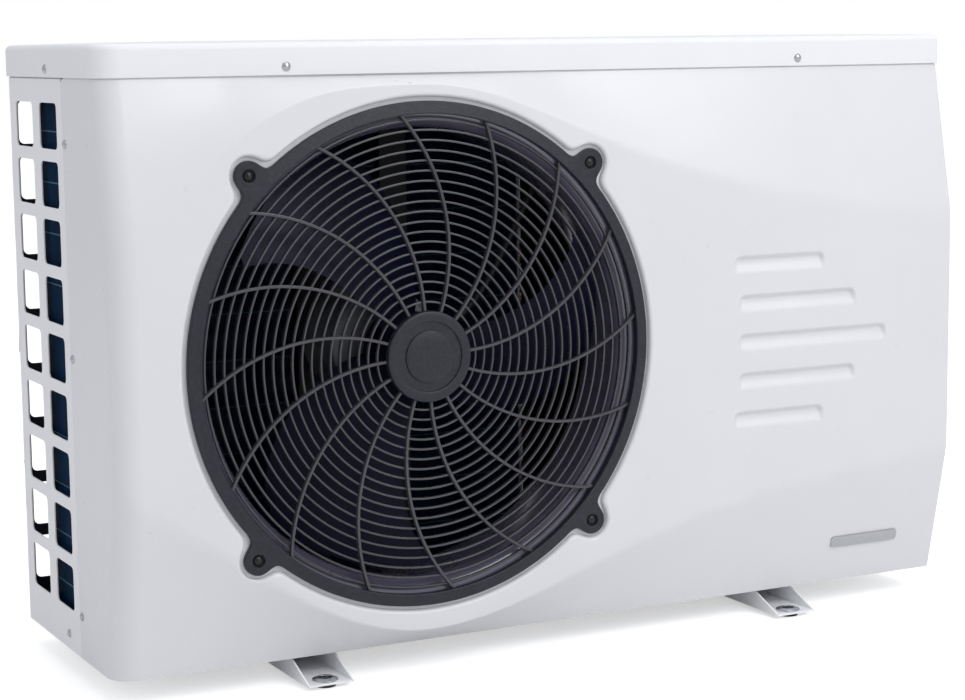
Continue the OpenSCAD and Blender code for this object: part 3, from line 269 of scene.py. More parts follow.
def plate(shape, outline, holes, place, low, high, extra=()):
    """A flat or bent plate: a filled outline between two distances, mapped by place(u, v, d)."""
    flat, faces = triangulate(outline, holes, extra)
    count = len(flat)
    points = [place(u, v, low) for u, v in flat] + [place(u, v, high) for u, v in flat]
    walls = [(a, a + count, b + count, b) for a, b in border_edges(faces)]
    under = [tuple(reversed(f)) for f in faces]
    over = [tuple(i + count for i in f) for f in faces]
    used = sorted(set(i for f in faces for i in f))
    renumber = {old: new for new, old in enumerate(used + [i + count for i in used])}
    shape.add([points[i] for i in used] + [points[i + count] for i in used],
              [tuple(renumber[i] for i in f) for f in under + over + walls])


def plan_outline(grow, steps=8):
    """Plan of the cabinet, grown outwards; the front left corner is the large one."""
    big, small, fold = max(CORNER_R + grow, 2), max(EDGE_R + grow, 1), max(REAR_R + grow, 0.5)
    w, d = RIGHT_X + grow, BACK_Y + grow
    return (arc((big - w, big - d), big, 180, 270, 2 * steps)
            + arc((w - small, small - d), small, 270, 360, steps)
            + arc((w - fold, d - fold), fold, 0, 90, steps)
            + arc((fold - w, d - fold), fold, 90, 180, steps))


# ---------------------------------------------------------------- materials


def node_tools(tree):
    """A function that adds a node to the tree and sets its inputs or properties by name."""
    def make(kind, **values):
        node = tree.nodes.new(kind)
        for key, value in values.items():
            if key in node.inputs:
                node.inputs[key].default_value = value
            else:
                setattr(node, key, value)
        return node
    return make


def surface(name, colour, rough, metal=0.0, mottle=0.05, mottle_scale=9, grain=0.1, grain_scale=900,
            rough_spread=0.06, stretch=(1, 1, 1), coat=0.0, tint=None, shine=0.5):
    """Finish with slow colour changes, patchy roughness and a fine bump, all from noise."""
    material = bpy.data.materials.new(name)
    material.use_nodes = True
    tree = material.node_tree
    make = node_tools(tree)
    link = tree.links.new
    shader = tree.nodes["Principled BSDF"]
    shader.inputs["Metallic"].default_value = metal
    shader.inputs["Coat Weight"].default_value = coat
    shader.inputs["Coat Roughness"].default_value = 0.12
    shader.inputs["Specular IOR Level"].default_value = shine
    place = make("ShaderNodeTexCoord")
    scaled = make("ShaderNodeMapping", Scale=stretch)
    link(place.outputs["Object"], scaled.inputs["Vector"])
    slow = make("ShaderNodeTexNoise", Scale=mottle_scale, Detail=4.0, Roughness=0.55)
    fine = make("ShaderNodeTexNoise", Scale=grain_scale, Detail=3.0, Roughness=0.6)
    wear = make("ShaderNodeTexNoise", Scale=mottle_scale * 7, Detail=6.0, Roughness=0.65)
    for noise in (slow, fine, wear):
        link(scaled.outputs["Vector"], noise.inputs["Vector"])
    ramp = make("ShaderNodeValToRGB")
    dark = [c * (1 - mottle) for c in colour]
    light = list(tint) if tint else [min(1, c * (1 + mottle)) for c in colour]
    ramp.color_ramp.elements[0].position = 0.28
    ramp.color_ramp.elements[1].position = 0.72
    ramp.color_ramp.elements[0].color = (*dark, 1)
    ramp.color_ramp.elements[1].color = (*light, 1)
    link(slow.outputs["Fac"], ramp.inputs["Fac"])
    link(ramp.outputs["Color"], shader.inputs["Base Color"])
    patchy = make("ShaderNodeMapRange")
    patchy.inputs["From Min"].default_value = 0.3
    patchy.inputs["From Max"].default_value = 0.7
    patchy.inputs["To Min"].default_value = max(0.02, rough - rough_spread)
    patchy.inputs["To Max"].default_value = min(1.0, rough + rough_spread)
    link(wear.outputs["Fac"], patchy.inputs["Value"])
    link(patchy.outputs["Result"], shader.inputs["Roughness"])
    bump = make("ShaderNodeBump", Strength=grain, Distance=0.0004)
    link(fine.outputs["Fac"], bump.inputs["Height"])
    link(bump.outputs["Normal"], shader.inputs["Normal"])
    return material


def light_lines(material, colour, pitch, offset, share):
    """Adds thin level lines along Z to a finish: their colour, pitch, offset and share of the pitch."""
    tree = material.node_tree
    make = node_tools(tree)
    link = tree.links.new
    shader = tree.nodes["Principled BSDF"]
    base = shader.inputs["Base Color"].links[0].from_socket
    place = make("ShaderNodeTexCoord")
    split = make("ShaderNodeSeparateXYZ")
    link(place.outputs["Object"], split.inputs["Vector"])
    steps = make("ShaderNodeMath", operation="MULTIPLY_ADD")
    steps.inputs[1].default_value = 1 / (pitch * MM)
    steps.inputs[2].default_value = -offset / pitch + 1000
    link(split.outputs["Z"], steps.inputs[0])
    part = make("ShaderNodeMath", operation="FRACT")
    link(steps.outputs[0], part.inputs[0])
    below = make("ShaderNodeMath", operation="LESS_THAN")
    below.inputs[1].default_value = share
    link(part.outputs[0], below.inputs[0])
    mix = make("ShaderNodeMix", data_type="RGBA")
    link(below.outputs[0], mix.inputs["Factor"])
    link(base, mix.inputs["A"])
    mix.inputs["B"].default_value = (*colour, 1)
    link(mix.outputs["Result"], shader.inputs["Base Color"])
    return material


finish = {
    "white_shell": surface("white_shell", (0.715, 0.715, 0.735), 0.33, mottle=0.012, grain=0.06,
                           grain_scale=700, coat=0.15),
    "white_paint": surface("white_paint", (0.80, 0.805, 0.825), 0.42, mottle=0.015, grain=0.12,
                           grain_scale=1100),
    "grille_black": surface("grille_black", (0.010, 0.012, 0.019), 0.44, mottle=0.5, mottle_scale=260,
                            grain=1.0, grain_scale=420, rough_spread=0.1, shine=0.5),
    "grille_smooth": surface("grille_smooth", (0.036, 0.036, 0.044), 0.3, mottle=0.2, grain=0.25,
                             grain_scale=900, shine=0.8),
    "fan_navy": surface("fan_navy", (0.005, 0.006, 0.020), 0.45, mottle=0.3, grain=0.15, grain_scale=600,
                        shine=0.18),
    "shroud_grey": surface("shroud_grey", (0.135, 0.128, 0.185), 0.2, mottle=0.15, grain=0.08,
                           grain_scale=500, coat=0.8, shine=0.8),
    # Dark colour for the guard's inner faces: painted shade, standing for the shade inside the cabinet
    "guard_inside_painted_shade": surface("guard_inside_painted_shade", (0.018, 0.020, 0.030), 0.45, mottle=0.2, grain=0.2,
                            grain_scale=900),
    "zinc": surface("zinc", (0.90, 0.91, 0.93), 0.36, metal=0.15, mottle=0.08, mottle_scale=45, grain=0.2,
                    grain_scale=420, rough_spread=0.12),
    "screw_steel": surface("screw_steel", (0.50, 0.51, 0.53), 0.16, metal=1.0, mottle=0.12, mottle_scale=200,
                           grain=0.1, grain_scale=1500),
    "washer_zinc": surface("washer_zinc", (0.50, 0.51, 0.54), 0.14, metal=1.0, mottle=0.25, mottle_scale=160,
                           grain=0.15, grain_scale=1200, rough_spread=0.08),
    "black_screw": surface("black_screw", (0.016, 0.016, 0.017), 0.28, metal=0.4, mottle=0.2, grain=0.2),
    "rubber_black": surface("rubber_black", (0.028, 0.028, 0.029), 0.72, mottle=0.2, grain=0.6,
                            grain_scale=800),
    "badge_metal": surface("badge_metal", (0.50, 0.51, 0.52), 0.3, metal=0.9, mottle=0.05, grain=0.35,
                           grain_scale=500, stretch=(0.06, 1, 6)),
    "fin_blue": surface("fin_blue", (0.008, 0.038, 0.095), 0.4, shine=0.15, mottle=0.35, mottle_scale=24,
                        grain=0.3, grain_scale=500, stretch=(1, 1, 0.2)),
    "copper": surface("copper", (0.72, 0.36, 0.22), 0.28, metal=1.0, mottle=0.25, mottle_scale=40,
                      tint=(0.80, 0.45, 0.28), grain=0.15, grain_scale=700, rough_spread=0.1),
    "brass": surface("brass", (0.70, 0.52, 0.22), 0.3, metal=1.0, mottle=0.15, mottle_scale=60, grain=0.15),
    "black_paint": surface("black_paint", (0.006, 0.006, 0.008), 0.5, mottle=0.3, grain=0.25, grain_scale=600,
                           shine=0.25),
    "steel": surface("steel", (0.50, 0.50, 0.51), 0.3, metal=1.0, mottle=0.1, mottle_scale=60, grain=0.2,
                     stretch=(1, 1, 5)),
    "motor_grey": surface("motor_grey", (0.30, 0.31, 0.32), 0.45, metal=0.5, mottle=0.12, grain=0.4,
                          grain_scale=350),
    "winding": surface("winding", (0.46, 0.20, 0.09), 0.34, metal=0.7, mottle=0.3, mottle_scale=120,
                       grain=0.6, grain_scale=900, stretch=(1, 5, 1)),
    "nylon": surface("nylon", (0.66, 0.64, 0.58), 0.45, mottle=0.05, grain=0.1),
    "solenoid_blue": surface("solenoid_blue", (0.03, 0.07, 0.20), 0.4, mottle=0.1, grain=0.2),
    "dark_plastic": surface("dark_plastic", (0.045, 0.046, 0.050), 0.5, mottle=0.15, grain=0.5,
                            grain_scale=1300),
    "pvc_grey": surface("pvc_grey", (0.20, 0.21, 0.23), 0.36, mottle=0.06, grain=0.12, grain_scale=500),
    "titanium": surface("titanium", (0.48, 0.46, 0.43), 0.32, metal=1.0, mottle=0.1, grain=0.15),
    "board_green": surface("board_green", (0.02, 0.14, 0.06), 0.3, mottle=0.3, mottle_scale=300, grain=0.2),
    "electrical": surface("electrical", (0.16, 0.17, 0.19), 0.42, mottle=0.2, mottle_scale=30, grain=0.2),
    "cable_black": surface("cable_black", (0.022, 0.022, 0.023), 0.52, mottle=0.2, grain=0.4,
                           grain_scale=500),
}

# The level lines are the edges of tubes seen through the fins
light_lines(finish["fin_blue"], (0.14, 0.28, 0.36), 2 * TUBE_PITCH, 37.0, 0.025)

# ---------------------------------------------------------------- front panel

# Half height of the band at the fan, then the base, width and power of its left side and the base
# and width of its right side
UPPER = (285, 40, 316, 3.35, 95, 310)
LOWER = (275, 30, 304, 2.04, 120, 300)
CREASE = 2            # rounding of the band's creases
LIP = 4.5             # rounding where the front turns into the grille's recess
NOTCH = 4             # corner cut off at the top of the left seam
SEAT_LINES = (0, 0.12, 0.45, 1.0, 1.8, 2.8, 3.8, LIP + 0.6)
SLOT_LINES = (-0.5, 0.5, 1.5, 2.5, 3.5, 4.5, 5.5, 6.6, 8, 9.5)
CREASE_LINES = (0.8, 0.88, 0.94, 1, 1.06, 1.12, 1.2)
LINE_CLEARANCE = 3.5  # grid points nearer than this to such a line are left out


def half_band(d, edge):
    """Half height of the band at a distance right of the fan, as in the CAD part."""
    peak, left_base, left_width, left_power, right_base, right_width = edge
    left = left_base + (peak - left_base) * np.exp(-np.power(np.maximum(-d, 0) / left_width, left_power))
    right = right_base + (peak - right_base) / (1 + (d / right_width) ** 2)
    return np.where(d < 0, left, right)


def soft_min(a, b, size):
    """The smaller of two values, with a fillet where they are closer than size."""
    share = np.clip(0.5 + 0.5 * (b - a) / size, 0, 1)
    return b + (a - b) * share - size * share * (1 - share)


def creases(x):
    """Heights of the band's lower and upper edge."""
    d = np.asarray(x, float) - FAN_X
    return MID_Z - half_band(d, LOWER), MID_Z + half_band(d, UPPER)


def band_rise(x, z):
    """How far the moulding stands in front of the cabinet, with soft creases."""
    low, high = creases(x)
    rise = BAND * (z - BASE_Z) / (low - BASE_Z)
    fall = BAND * (TOP_Z - z) / (TOP_Z - high)
    return soft_min(soft_min(rise, fall, CREASE), BAND, CREASE)


def seat_distance(x, z):
    """Distance outside the outline of the grille's recess, with its four ears."""
    d = np.hypot(x - FAN_X, z - FAN_Z) - SEAT_R
    for a in EAR_ANGLES:
        ear = np.hypot(x - FAN_X - EAR_AT * math.cos(a), z - FAN_Z - EAR_AT * math.sin(a)) - EAR_SEAT_R
        d = soft_min(d, ear, EAR_WEB)
    return d


def slot_ends(i):
    """Centres of a slot's round ends along X, and its height."""
    left = 202 if i in (0, 4) else 208
    right = 323 + SLOT_PITCH * (2 - abs(i - 2))
    return left + SLOT_H / 2, right - SLOT_H / 2, SLOT_LOW_Z + i * SLOT_PITCH


def smooth_step(low, high, value):
    """0 below low, 1 above high, and a smooth rise between."""
    t = np.clip((value - low) / (high - low), 0, 1)
    return t * t * (3 - 2 * t)


def slot_depth(x, z):
    """Pressed scoops: steep along the top edge and the ends, fading out towards the bottom edge."""
    depth = np.zeros_like(x)
    for i in range(5):
        x0, x1, zc = slot_ends(i)
        top = zc + SLOT_H / 2 - z
        to_end = np.minimum(x - x0, x1 - x) + SLOT_H / 2
        off_top = SLOT_CORNER - np.minimum(top, SLOT_CORNER)
        off_end = SLOT_CORNER - np.minimum(to_end, SLOT_CORNER)
        from_edge = SLOT_CORNER - np.hypot(off_top, off_end)
        fade = 1 - smooth_step(0.3, 1.0, top / SLOT_H)
        depth = np.maximum(depth, SLOT_DEPTH * smooth_step(0, SLOT_WALL, from_edge) * fade)
    return depth


def ring_angles():
    """Angles all the way round the grille, closer together at its ears."""
    angles = list(np.radians(np.arange(0, 360, 1.5)))
    for a in EAR_ANGLES:
        angles += list(a + np.radians(np.arange(-9.1, 9.2, 0.35)))
    return np.unique(np.round(angles, 5))


def outline_radii(distance, low, high, angles):
    """Radius at each angle where a distance function of (x, z) turns positive."""
    low = np.full(len(angles), float(low))
    high = np.full(len(angles), float(high))
    for _ in range(40):
        mid = (low + high) / 2
        out = distance(mid * np.cos(angles), mid * np.sin(angles)) > 0
        high = np.where(out, mid, high)
        low = np.where(out, low, mid)
    return low


class FrontPath:
    """The front panel's outline in plan, from its left seam to its right seam, by path length."""

    def __init__(self):
        self.left = LEFT_SEAM_Y - (FRONT_Y + CORNER_R)
        self.corner = self.left + CORNER_R * math.pi / 2
        self.front = self.corner + (RIGHT_X - EDGE_R) - (LEFT_X + CORNER_R)
        self.edge = self.front + EDGE_R * math.pi / 2
        self.end = self.edge + RIGHT_SEAM_Y - (FRONT_Y + EDGE_R)

    def at(self, s):
        """x, y, outward normal (x, y) and how much of the band it follows."""
        s = np.asarray(s, float)
        a = (s - self.left) / CORNER_R
        b = (s - self.front) / EDGE_R
        sections = [s < self.left, s < self.corner, s < self.front, s < self.edge]
        x = np.select(sections, [np.full_like(s, LEFT_X), LEFT_X + CORNER_R * (1 - np.cos(a)),
                                 LEFT_X + CORNER_R + s - self.corner,
                                 RIGHT_X - EDGE_R * (1 - np.sin(b))], RIGHT_X)
        y = np.select(sections, [LEFT_SEAM_Y - s, FRONT_Y + CORNER_R * (1 - np.sin(a)),
                                 np.full_like(s, FRONT_Y), FRONT_Y + EDGE_R * (1 - np.cos(b))],
                      FRONT_Y + EDGE_R + s - self.edge)
        nx = np.select(sections, [np.full_like(s, -1), -np.cos(a), np.zeros_like(s), np.sin(b)], 1)
        ny = np.select(sections, [np.zeros_like(s), -np.sin(a), np.full_like(s, -1), -np.cos(b)], 0)
        follow = np.select(sections, [s / self.left, np.ones_like(s), np.ones_like(s), np.ones_like(s)],
                           (self.end - s) / (self.end - self.edge))
        return x, y, nx, ny, follow

    def of_x(self, x):
        return self.corner + x - (LEFT_X + CORNER_R)


path = FrontPath()


def shell_point(s, z, inset=0.0):
    """A point of the moulding's outer face, or of its lining when inset is its thickness."""
    x, y, nx, ny, follow = path.at(s)
    away = seat_distance(x, z)
    rise = band_rise(x, z)
    near = np.clip(1 - away / LIP, 0, 1)
    sunk = 1 - np.sqrt(1 - near ** 2)
    if inset:
        sunk = 1 - smooth_step(3, 5, away)
    seat = rise * (1 - sunk) + (BAND - SEAT_DEPTH) * sunk
    front = np.where(ny < -0.99, seat, rise) - slot_depth(x, z)
    return np.stack([x - nx * inset, y - ny * inset - front * follow, z], axis=-1)


def shell_normals(s, z):
    """Normals of the outer face, from its slope along both directions."""
    step = 0.05
    along = shell_point(s + step, z) - shell_point(s - step, z)
    up = shell_point(s, z + step) - shell_point(s, z - step)
    normal = np.cross(along, up)
    return normal / np.linalg.norm(normal, axis=-1, keepdims=True)


def seat_loop(distance):
    """The line at a distance outside the grille recess's outline, as (path length, height)."""
    angles = ring_angles()
    radii = outline_radii(lambda x, z: seat_distance(FAN_X + x, FAN_Z + z) - distance,
                          SEAT_R - 10, EAR_AT + EAR_SEAT_R + 20, angles)
    return [(float(path.of_x(FAN_X + r * math.cos(a))), FAN_Z + r * math.sin(a))
            for r, a in zip(radii, angles)]


def crease_lines():
    """Lines along both creases of the band, from seam to seam, at shares of the slopes' heights."""
    stations = np.unique(np.concatenate([
        np.linspace(0, path.left, 9), np.linspace(path.left, path.corner, 13),
        np.arange(path.corner, path.front, 4), np.linspace(path.front, path.edge, 5),
        np.linspace(path.edge, path.end, 4)]))
    low, high = creases(path.at(stations)[0])
    lines = []
    for share in CREASE_LINES:
        for level in (BASE_Z + (low - BASE_Z) * share, TOP_Z - (TOP_Z - high) * share):
            lines.append([(float(s), float(z)) for s, z in zip(stations[1:-1], level[1:-1])])
    return lines


def slot_loop(i, within):
    """Rounded rectangle inside a slot's outline, along which the mesh is closer."""
    x0, x1, zc = slot_ends(i)
    half = SLOT_H / 2 - within
    left, right = x0 - half, x1 + half
    r = half * 0.6
    straight = np.linspace(left + r, right - r, int((right - left) / 6))
    loop = arc((left + r, zc + half - r), r, 90, 180, 5) + arc((left + r, zc - half + r), r, 180, 270, 5)
    loop += [(x, zc - half) for x in straight[1:-1]]
    loop += arc((right - r, zc - half + r), r, 270, 360, 5) + arc((right - r, zc + half - r), r, 0, 90, 5)
    loop += [(x, zc + half) for x in straight[-2:0:-1]]
    return [(float(path.of_x(x)), z) for x, z in loop]


def shell_plan():
    """Flat layout of the moulding as (path length, height) points and triangles."""
    loops = [seat_loop(d) for d in SEAT_LINES]
    loops += [slot_loop(i, w) for i in range(5) for w in SLOT_LINES]
    lines = crease_lines()
    hole = [(float(path.of_x(x)), z) for x, z in circle((FAN_X, FAN_Z), HOLE_R, 180)]
    columns = np.concatenate([
        np.linspace(0, path.left, 9)[:-1], np.linspace(path.left, path.corner, 13)[:-1],
        np.linspace(path.corner, path.front, 100)[:-1], np.linspace(path.front, path.edge, 5)[:-1],
        np.linspace(path.edge, path.end, 4)])
    rows = np.linspace(BASE_Z, TOP_Z, 60)
    grid = np.array([(s, z) for s in columns[1:-1] for z in rows[1:-1]])
    crowded = np.array([p for chain in loops + lines + [hole] for p in chain])
    nearest = np.array([np.min(np.hypot(crowded[:, 0] - s, crowded[:, 1] - z)) for s, z in grid])
    on_seat = seat_distance(path.at(grid[:, 0])[0], grid[:, 1]) < LIP
    extra = [tuple(p) for p in grid[(nearest > LINE_CLEARANCE) & ~on_seat]]
    outline = [(float(s), BASE_Z) for s in columns] + [(path.end, z) for z in rows[1:-1]]
    outline += [(float(s), TOP_Z) for s in columns[:0:-1]] + [(NOTCH, TOP_Z), (0.0, TOP_Z - NOTCH)]
    outline += [(0.0, z) for z in rows[-2:0:-1]]
    flat, faces = triangulate(outline, [hole], extra, loops, lines)
    return np.array(flat), faces


def front_shell():
    """The front moulding: one mesh whose edges follow the recess, the slots and the creases."""
    flat, faces = shell_plan()
    s, z = flat[:, 0], flat[:, 1]
    count = len(flat)
    skin = [tuple(f) for f in faces]
    lining = [tuple(i + count for i in reversed(f)) for f in faces]
    rims = [(b, a, a + count, b + count) for a, b in border_edges(faces)]
    outer, inner = shell_point(s, z), shell_point(s, z, SHELL)
    used = sorted(set(i for f in faces for i in f))
    both = used + [i + count for i in used]
    renumber = np.full(2 * count, -1)
    renumber[both] = np.arange(len(both))
    points = np.concatenate([outer, inner])[both]
    mesh = bpy.data.meshes.new("front_shell")
    mesh.from_pydata((points * MM).tolist(), [],
                     [tuple(int(renumber[i]) for i in f) for f in skin + lining + rims])
    mesh.shade_smooth()
    normals = shell_normals(s, z)
    middle = np.array([[np.mean(path.at(s[list(f)])[0]), np.mean(z[list(f)])] for f in faces])
    floor = seat_distance(middle[:, 0], middle[:, 1]) < 0
    loop_normals = []
    for f, is_floor in zip(skin, floor):
        loop_normals += [(0, -1, 0) if is_floor else tuple(normals[i]) for i in f]
    for poly in list(mesh.polygons)[len(skin):]:
        loop_normals += [tuple(poly.normal)] * len(poly.vertices)
    mesh.normals_split_custom_set(loop_normals)
    mesh.materials.append(finish["white_shell"])
    obj = bpy.data.objects.new("front_shell", mesh)
    bpy.context.scene.collection.objects.link(obj)
    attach(obj, "cabinet")
    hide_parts("front_panel")


def front_tongue():
    """Strip behind the lid's skirt that closes the gap under the lid."""
    stations = np.linspace(NOTCH + 3, path.end - 0.5, 260)
    x, y, nx, ny, _ = path.at(stations)
    section = [(0.4, TOP_Z - 2.5), (0.4, TONGUE_Z), (2.4, TONGUE_Z), (2.4, TOP_Z - 2.5)]
    shape = Shape()
    shape.loft([[(x[k] - nx[k] * d, y[k] - ny[k] * d, z) for d, z in section] for k in range(len(x))])
    shape.piece("front_tongue", finish["white_shell"], replaces=["front_panel"])


front_shell()
front_tongue()

# ---------------------------------------------------------------- grille

GRILLE_BACK = SEAT_Y - GAP
FRAME_T = 8
FRAME_SLOPE = 2.2     # how far the ring's front drops from its inner to its outer edge


def grille_frame():
    """Ring that slopes back outwards, with four ears and a screw recess in each."""
    def distance(x, z):
        d = np.hypot(x, z) - GRILLE_R
        for a in EAR_ANGLES:
            ear = np.hypot(x - EAR_AT * math.cos(a), z - EAR_AT * math.sin(a)) - EAR_R
            d = soft_min(d, ear, EAR_WEB)
        return d
    angles = ring_angles()
    radii = outline_radii(distance, GRILLE_R - 2, EAR_AT + EAR_R + 6, angles)
    outline = [(float(r * math.cos(a)), float(r * math.sin(a))) for r, a in zip(radii, angles)]
    ears = [(EAR_AT * math.cos(a), EAR_AT * math.sin(a)) for a in EAR_ANGLES]
    opening = circle((0, 0), GRILLE_R - FRAME_W, 192)
    shape = Shape()
    flat = facing(FAN_X, GRILLE_BACK, FAN_Z)

    def sloped(u, v, w):
        share = np.clip((math.hypot(u, v) - GRILLE_R + FRAME_W) / FRAME_W, 0, 1)
        return flat(u, v, w - FRAME_SLOPE * share if w > 0 else w)

    plate(shape, outline, [opening] + [circle(e, 6.5, 32) for e in ears], sloped, 0, FRAME_T)
    bevel(shape.piece("grille_frame", finish["grille_black"], replaces=["fan_grille"]), 1.3, 3)
    floors = Shape()
    for u, v in ears:
        revolve(floors, [(2.6, 0.4), (8, 0.4), (8, 3), (2.6, 3)],
                facing(FAN_X + u, GRILLE_BACK, FAN_Z + v), 32, joined=True)
    floors.piece("grille_ears", finish["grille_black"], replaces=["fan_grille"])


def grille_bars():
    """Concentric bars with rounded front edges."""
    shape = Shape()
    place = facing(FAN_X, GRILLE_BACK + 3, FAN_Z)
    w, d, r = 1.1, 4, 0.7      # half width, depth and edge radius of a bar
    section = [(-w, 0), (w, 0), (w, d - r), (w - r * 0.3, d - r * 0.3), (w - r, d),
               (r - w, d), (r * 0.3 - w, d - r * 0.3), (-w, d - r)]
    for k in range(BARS):
        radius = BAR_0 + k * BAR_PITCH
        rings = []
        for a in np.linspace(0, 2 * math.pi, 145)[:-1]:
            rings.append([place((radius + u) * math.cos(a), (radius + u) * math.sin(a), v)
                          for u, v in section])
        shape.loft(rings, joined=True)
    shape.piece("grille_bars", finish["grille_smooth"], replaces=["fan_grille"])


def grille_spokes():
    """Curved spokes from the hub to the ring, each an arc of a circle."""
    shape = Shape()
    place = facing(FAN_X, GRILLE_BACK + 1, FAN_Z)
    away = math.hypot(*SPOKE_C)
    toward = math.atan2(-SPOKE_C[1], -SPOKE_C[0])

    def swing(r):
        return math.acos((away ** 2 + SPOKE_R ** 2 - r * r) / (2 * away * SPOKE_R))
    w, d = 1.6, 5              # half width and depth of a spoke
    section = [(-w, 0), (w, 0), (w, d - 0.8), (w * 0.8, d - 0.2), (w * 0.4, d), (-w * 0.4, d),
               (-w * 0.8, d - 0.2), (-w, d - 0.8)]
    for k in range(SPOKES):
        turn = 2 * math.pi * k / SPOKES
        rings = []
        for a in np.linspace(swing(HUB_R - 4), swing(GRILLE_R - FRAME_W + 2), 28):
            ring = []
            for u, v in section:
                x = SPOKE_C[0] + (SPOKE_R + u) * math.cos(toward + a)
                z = SPOKE_C[1] + (SPOKE_R + u) * math.sin(toward + a)
                ring.append(place(x * math.cos(turn) - z * math.sin(turn),
                                  x * math.sin(turn) + z * math.cos(turn), v))
            rings.append(ring)
        shape.loft(rings)
    shape.piece("grille_spokes", finish["grille_smooth"], replaces=["fan_grille"])


def grille_hub():
    """Hub disc with a sunk ring."""
    shape = Shape()
    profile = [(HUB_R - 2, 0), (HUB_R, 1), (HUB_R, 5.4), (HUB_R - 0.8, 7.2), (HUB_R - 2.6, 8.0), (37, 8.0),
               (36.3, 7.6), (36, 6.2), (27, 6.2), (26.7, 7.6), (26, 8.0), (12, 8.0), (3, 8.0)]
    revolve(shape, profile, facing(FAN_X, GRILLE_BACK - 0.5, FAN_Z), 96)
    shape.piece("grille_hub", finish["grille_black"], replaces=["fan_grille"])


grille_frame()
grille_bars()
grille_spokes()
grille_hub()

# ---------------------------------------------------------------- fan and shroud


def fan_wheel():
    """Hub and three broad, twisted and cambered blades."""
    middle_y = FRONT_Y + BLADE_HUB_L / 2
    shape = Shape()
    revolve(shape, [(6.02, 0), (38, 0), (BLADE_HUB_R, 3), (BLADE_HUB_R, 36), (38, 41), (30, 42), (22, 39),
                    (12, 39), (6.02, 40)], facing(FAN_X, FRONT_Y + BLADE_HUB_L, FAN_Z), 64, joined=True)
    across, along = 20, 22     # mesh steps over the blade's chord and its span
    for k in range(BLADES):
        turn = 2 * math.pi * k / BLADES
        front, back = [], []
        for j in range(along + 1):
            t = j / along
            r = BLADE_HUB_R - 3 + (BLADE_R - BLADE_HUB_R + 3) * t
            half = BLADE_HALF[0] + BLADE_HALF[1] * t ** 0.8
            pitch = math.radians(BLADE_PITCH[0] + BLADE_PITCH[1] * t)
            sweep = math.radians(BLADE_SWEEP[0] + BLADE_SWEEP[1] * t ** 1.5)
            for i in range(across + 1):
                u = 2 * i / across - 1
                tip = math.sqrt(max(0, 1 - (abs(u) ** 5) * t ** 6))
                chord = u * half * math.cos(pitch)
                lift = u * half * math.sin(pitch) + BLADE_CAMBER * (1 - u * u)
                angle = turn + sweep + chord / r
                thick = BLADE_T[0] + BLADE_T[1] * math.sqrt(max(0, 1 - u * u)) * (1 - 0.4 * t)
                reach = r * (0.94 + 0.06 * tip) if t > 0.5 else r
                for side, store in ((1, front), (-1, back)):
                    store.append((FAN_X + reach * math.cos(angle), middle_y - lift - side * thick,
                                  FAN_Z + reach * math.sin(angle)))
        count = (across + 1) * (along + 1)
        faces = []
        for j in range(along):
            for i in range(across):
                a = j * (across + 1) + i
                b = a + across + 1
                faces.append((a, a + 1, b + 1, b))
                faces.append((a + count, b + count, b + 1 + count, a + 1 + count))
        rim = list(range(across + 1))
        rim += [j * (across + 1) + across for j in range(1, along + 1)]
        rim += [along * (across + 1) + i for i in range(across - 1, -1, -1)]
        rim += [j * (across + 1) for j in range(along - 1, 0, -1)]
        for a, b in zip(rim, rim[1:] + rim[:1]):
            faces.append((a, a + count, b + count, b))
        shape.add(front + back, faces)
    shape.piece("fan_wheel", finish["fan_navy"], body="fan_rotor", replaces=["fan_blades"])


def shroud():
    """Bell mouth and duct round the blades, turned from one profile."""
    throat = BLADE_R + 6
    outer = arc((throat + 18, -18), 16, 90, 180, 10)
    inner = arc((throat + 18, -18), 18, 180, 90, 10)
    profile = [(HOLE_R - 1, 0), (HOLE_R + 15, 0), (HOLE_R + 15, -2)] + outer
    profile += [(throat + 2, -77), (throat + 1.6, -78), (throat + 0.4, -78), (throat, -77)] + inner
    shape = Shape()
    revolve(shape, profile, facing(FAN_X, SEAT_Y + SHELL + GAP, FAN_Z), 144, joined=True)
    shape.piece("shroud", finish["shroud_grey"], replaces=["fan_shroud"])


fan_wheel()
shroud()

# ---------------------------------------------------------------- lid


def lid():
    """Pan-shaped lid with a rounded upper edge and a folded skirt."""
    round_r, crown = 6.5, 2
    edge_top = LID_TOP - crown
    section = [(LID_OVER - SHEET, LID_Z), (LID_OVER - 0.3, LID_Z), (LID_OVER, LID_Z + 0.3)]
    section += [(LID_OVER - round_r + round_r * math.cos(a), edge_top - round_r + round_r * math.sin(a))
                for a in np.radians(np.linspace(0, 84, 9))]
    section += [(-d, edge_top + crown * math.sin(math.pi / 2 * d / 140)) for d in (8, 25, 50, 80, 110, 140)]
    shape = Shape()
    rings = [[(x, y, z) for x, y in plan_outline(g)] for g, z in section]
    inner = [(LID_OVER - SHEET, edge_top - SHEET - 2), (LID_OVER - SHEET - 2, edge_top - SHEET)]
    lining = [[(x, y, z) for x, y in plan_outline(g)] for g, z in inner]
    shape.loft(list(reversed(lining)) + rings)
    shape.piece("lid", finish["white_paint"], replaces=["top_lid"], sharp=30)


lid()

# ---------------------------------------------------------------- guard over the coil

OPENING = (60, 46.5)
COLUMN_PITCH, ROW_PITCH, ROWS, GUARD_COLUMNS = 85.5, 59.3, 9, 7
FIRST_ROW_Z = BASE_Z + 67.3
SIDE_COLUMNS = (9.2, 94)
FIRST_BACK_COLUMN_X = LEFT_X + 39
OPENING_R = 6
FOLD_R = 3
FOLD_L = FOLD_R * math.pi / 2
SIDE_L = BACK_Y - FOLD_R - (LEFT_SEAM_Y + SEAM_GAP)
JOGGLE = 1.2          # how far the sheets step inwards behind the lid's skirt


def under_lid(z, d):
    """The sheets step inwards where they run up behind the lid's skirt."""
    return d + (JOGGLE if z > TOP_Z + 0.1 else 0)


